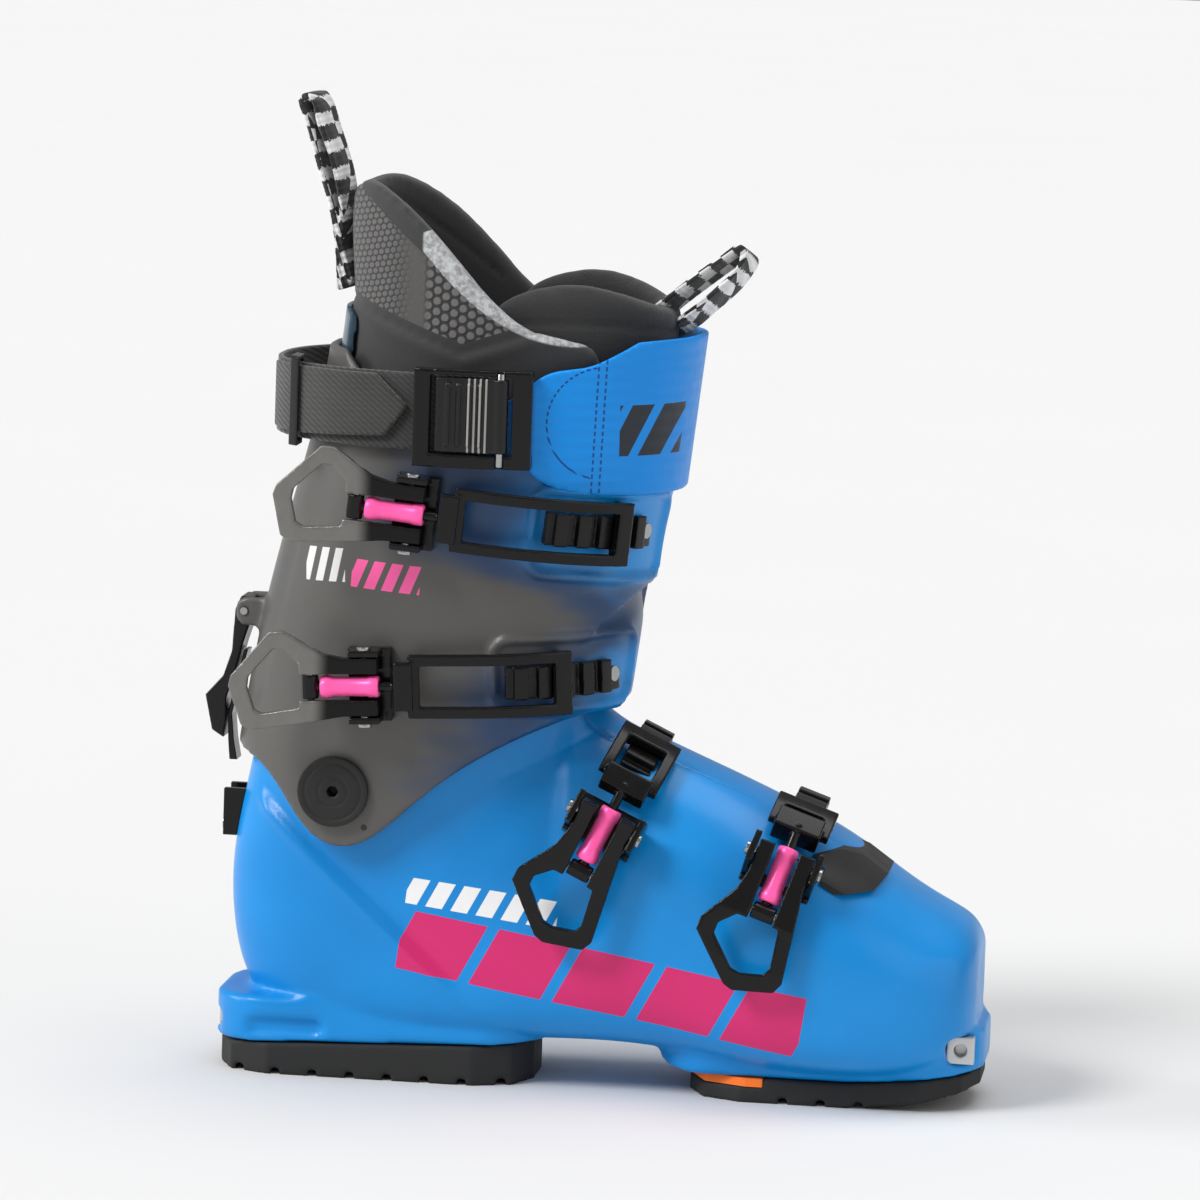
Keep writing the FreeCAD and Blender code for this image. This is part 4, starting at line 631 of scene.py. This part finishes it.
# ---------------------------------------------------------------- shell and cuff
def shell_relief(points, normals):
    """Overlap step and its groove, heel ridge, parting line at the ankle, and a fuller nose."""
    x, y, z = points.T / MM
    outer = normals[:, 1] < 0.6
    flap = (1 - smooth_step(y, -20.8, -19.4)) * smooth_step(x, 84, 92) * (1 - smooth_step(x, 176, 196))
    flap *= smooth_step(z, 70, 104) * (normals[:, 2] > -0.2) * outer * (z > 60)
    groove = np.exp(-((y + 19.2) / 0.9) ** 2) * smooth_step(x, 84, 92) * (1 - smooth_step(x, 186, 200))
    groove *= normals[:, 2] > 0.2
    across, share = line_distance(points, (-36, 112), (52, 34))
    ridge = 1.9 * np.exp(-(across / MM / 2.6) ** 2) - 1.3 * np.exp(-((across / MM - 5.5) / 3.0) ** 2)
    ridge *= smooth_step(share, -0.08, 0.1) * (1 - smooth_step(share, 0.78, 1.12))
    ridge *= smooth_step(np.abs(y), 22, 30)
    parting, share = line_distance(points, (62, 123), (100, 142))
    seam = np.exp(-(parting / MM / 0.8) ** 2) * smooth_step(share, 0, 0.1) * (1 - smooth_step(share, 0.9, 1))
    seam *= (np.abs(y) > 12) * (normals[:, 1] < 0)
    nose = np.exp(-((z - 62) / 5.0) ** 2) * smooth_step(x, 215, 250)
    return MM * (2.0 * flap - 0.9 * groove + ridge - 0.5 * seam + 0.4 * nose * (np.abs(normals[:, 2]) < 0.8))


def cuff_relief(points, normals):
    """Rims round both catch ladders, the upper flap's stepped edge, and a spine crease."""
    out = np.einsum("ij,ij->i", points[:, :2] - np.array((0.045, 0)), normals[:, :2]) > 0
    total = np.zeros(len(points))
    for place, low, high in LADDER_RIMS:
        along, across = wrap(points, **place)
        edge = rounded_box(along / MM, across / MM, low, high, 7)
        total += 2.7 * np.exp(-(edge / 1.9) ** 2) + 0.5 * (1 - smooth_step(edge, -2, 0))
    x, y, z = points.T / MM
    across, share = line_distance(points, (-34, 135), (-12, 226))
    crease = np.exp(-((across / MM - 6) / 3.0) ** 2)
    crease *= smooth_step(share, 0.02, 0.2) * (1 - smooth_step(share, 0.8, 1.0))
    total -= 0.9 * crease * (np.abs(y) > 18)
    over_edge = z - (200 + (x - 114.7) * 0.95)
    front = smooth_step(x, 92, 106) * (1 - smooth_step(y, 14.5, 16.5))
    above = smooth_step(over_edge, -0.9, 0.9)
    total += front * above * 2.2 * np.exp(-(np.maximum(over_edge, 0) / 15) ** 2)
    dip = front * (1 - above) * np.exp(-((np.minimum(over_edge, 0) + 3) / 7) ** 2) * 2.8
    return MM * (total * out - dip * np.where(out, 1, -1))


def tongue_rim(points, normals):
    """Padded rim along the tongue's upper edge, with the seam below it."""
    x, y, z = points.T / MM
    depth = z.max() - 6 - z - 0.0030 * (x - 88) ** 2
    return MM * (0.9 * np.exp(-((depth - 1) / 4.0) ** 2) - 1.0 * np.exp(-((depth - 8.5) / 1.0) ** 2))


def collar_roll(points, normals):
    """Seam under the smooth collar roll, and a rolled hem over the liner's lower panel."""
    x, y, z = points.T / MM
    seam = z - (354 - 0.80 * x)
    groove = np.exp(-((seam + 1.0) / 0.9) ** 2) * (x < 48) * (normals[:, 1] < 0.2)
    binding = z - (291 + 0.34 * np.abs(x - 46))
    hem = np.exp(-((binding + 2) / 3.0) ** 2) * 0.8 - 0.8 * np.exp(-((binding - 2) / 0.9) ** 2)
    hem *= (z > 285) * (normals[:, 1] < 0.2)
    return MM * (-0.9 * groove + hem * 0.9)


def disc_rings(points, normals):
    """Two fine rings turned into the face of each pivot disc."""
    reach = np.hypot(points[:, 0], points[:, 2] - PIVOT_HEIGHT * MM) / MM
    rings = np.exp(-((reach - 11.2) / 0.55) ** 2) + 0.8 * np.exp(-((reach - 5.8) / 0.5) ** 2)
    face = (np.abs(normals[:, 1]) > 0.8) & (np.abs(points[:, 1]) > 0.049)
    return -0.45 * MM * rings * face


shell = moulded("lower_shell", "shell_moulding", 1.65, 4, "shell")
sculpt(shell, shell_relief)
cuff = moulded("cuff", "cuff_moulding", 1.3, 3, "cuff")
sculpt(cuff, cuff_relief)
moulded("spoiler", "spine_tab", 1.0, 3, "spine")
dress("toe_overlap_guard", "guard")
moulded("heel_sole_pad", "heel_tread", 1.0, 2, "rubber")
moulded("toe_sole_pad", "toe_tread", 1.0, 2, "rubber")
dress("toe_sole_insert", "orange", 0.4)
dress("boot_board", "board", 0.5)
dress("sole_screws", "steel", 0.3)
moulded("toe_tech_inserts", "toe_inserts", 0.4, 2, "insert")
moulded("heel_tech_insert", "heel_insert_plate", 0.5, 2, "insert")

# ---------------------------------------------------------------- liner
liner = moulded("liner_cuff", "liner_upper", 1.7, 14, "liner")
tongue = moulded("tongue", "liner_tongue", 1.7, 14, "tongue")
sculpt(tongue, tongue_rim)
sculpt(liner, collar_roll)
moulded("liner_foot", "liner_sock", 1.9, 4, "felt")

# ---------------------------------------------------------------- buckles
JOINTS = {joint["name"]: joint for joint in frame["record"]["behaviour"]["joints"]}


def turned_sleeve(buckle):
    """Anodised adjuster sleeve: a flared rounded end, a slim waist and a collar, with a bore."""
    node = f"{buckle}_adjuster"
    joint = JOINTS[f"{buckle}_adjuster_turn"]
    axis = Vector(joint["axis"]).normalized()
    origin = Vector(joint["pos_m"])
    reaches = [(Vector(point) - origin).dot(axis) for point in points_of(NODES[node].data)]
    start, length = min(reaches), max(reaches) - min(reaches)
    flare = [(0, 2.1), (0, 3.6), (0.03, 4.4), (0.10, 4.75), (0.17, 4.4), (0.24, 3.95)]
    waist_and_collar = [(0.5, 3.8), (0.80, 3.9), (0.84, 4.25), (0.96, 4.25), (1.0, 3.9), (1.0, 2.1)]
    profile = flare + waist_and_collar
    side = axis.orthogonal().normalized()
    other = axis.cross(side)
    around = 40
    points, faces = [], []
    for share, radius in profile:
        middle = origin + axis * (start + length * share)
        for step in range(around):
            angle = 2 * math.pi * step / around
            points.append(middle + (side * math.cos(angle) + other * math.sin(angle)) * radius * MM)
    rows = len(profile)
    for row in range(rows):
        for step in range(around):
            nxt, up = (step + 1) % around, (row + 1) % rows
            faces.append((row * around + step, row * around + nxt, up * around + nxt, up * around + step))
    mesh = bpy.data.meshes.new(f"{buckle}_sleeve")
    mesh.from_pydata(points, [], faces)
    sleeve = new_piece(f"{buckle}_sleeve", mesh, BODY_OF[node], "pink")
    edge = sleeve.modifiers.new("edge", "BEVEL")
    edge.width = 0.35 * MM
    edge.segments = 3
    edge.limit_method = "ANGLE"
    smooth_shade(mesh)
    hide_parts(node)


for buckle in BUCKLES:
    metal = f"{buckle}_grey" if buckle in ("upper", "lower") else "satin"
    moulded(f"{buckle}_lever", f"{buckle}_lever_casting", 0.42, 8, metal)
    moulded(f"{buckle}_hook", f"{buckle}_hook_casting", 0.42, 6, "satin")
    moulded(f"{buckle}_ladder", f"{buckle}_catch_ladder", 0.42, 2, "black")
    moulded(f"{buckle}_buckle_base", f"{buckle}_base_plate", 0.42, 2, "satin")
    dress(f"{buckle}_lever_pins", "steel", 0.3)
    dress(f"{buckle}_link_pin", "steel", 0.3)
    turned_sleeve(buckle)

for node in ("cuff_rivets", "shell_rivets", "strap_cam_pin", "walk_lever_pin"):
    dress(node, "steel", 0.3)
for node in ("pivot_nuts", "lock_anchor", "lock_bar"):
    dress(node, "satin", 0.3)
discs = moulded("pivot_rivets", "pivot_discs", 0.45, 2, "guard")
sculpt(discs, disc_rings)
moulded("walk_lever", "walk_lever_moulding", 0.6, 4, "black")

# ---------------------------------------------------------------- straps and loops
moulded("power_strap_front", "strap_panel", 0.9, 3, "panel")
moulded("power_strap_webbing", "strap_band", 0.8, 1, "strap")
moulded("power_strap_tail", "strap_tail", 0.8, 1, "strap")
moulded("strap_keeper", "keeper_loop", 0.5, 3, "black")
moulded("strap_buckle_frame", "cam_buckle_frame", 0.5, 3, "satin")
moulded("strap_cam", "cam_buckle_plate", 0.5, 1, "plate")
moulded("rear_pull_loop", "rear_loop", 0.55, 2, "rear_braid")
moulded("tongue_pull_loop", "tongue_loop", 0.55, 2, "tongue_braid")

# ---------------------------------------------------------------- floor
floor = bpy.data.meshes.new("floor")
reach, level = 12.0, 0.0
corners = [(-reach, -reach, level), (reach, -reach, level), (reach, reach, level), (-reach, reach, level)]
floor.from_pydata(corners, [], [(0, 1, 2, 3)])
floor_object = bpy.data.objects.new("floor", floor)
bpy.context.scene.collection.objects.link(floor_object)
paper = Finish("paper", 0.9)
paper.colour(paper.mix(paper.noise(3, 2), (0.690, 0.690, 0.687), (0.704, 0.704, 0.701)))
floor.materials.append(paper.material)
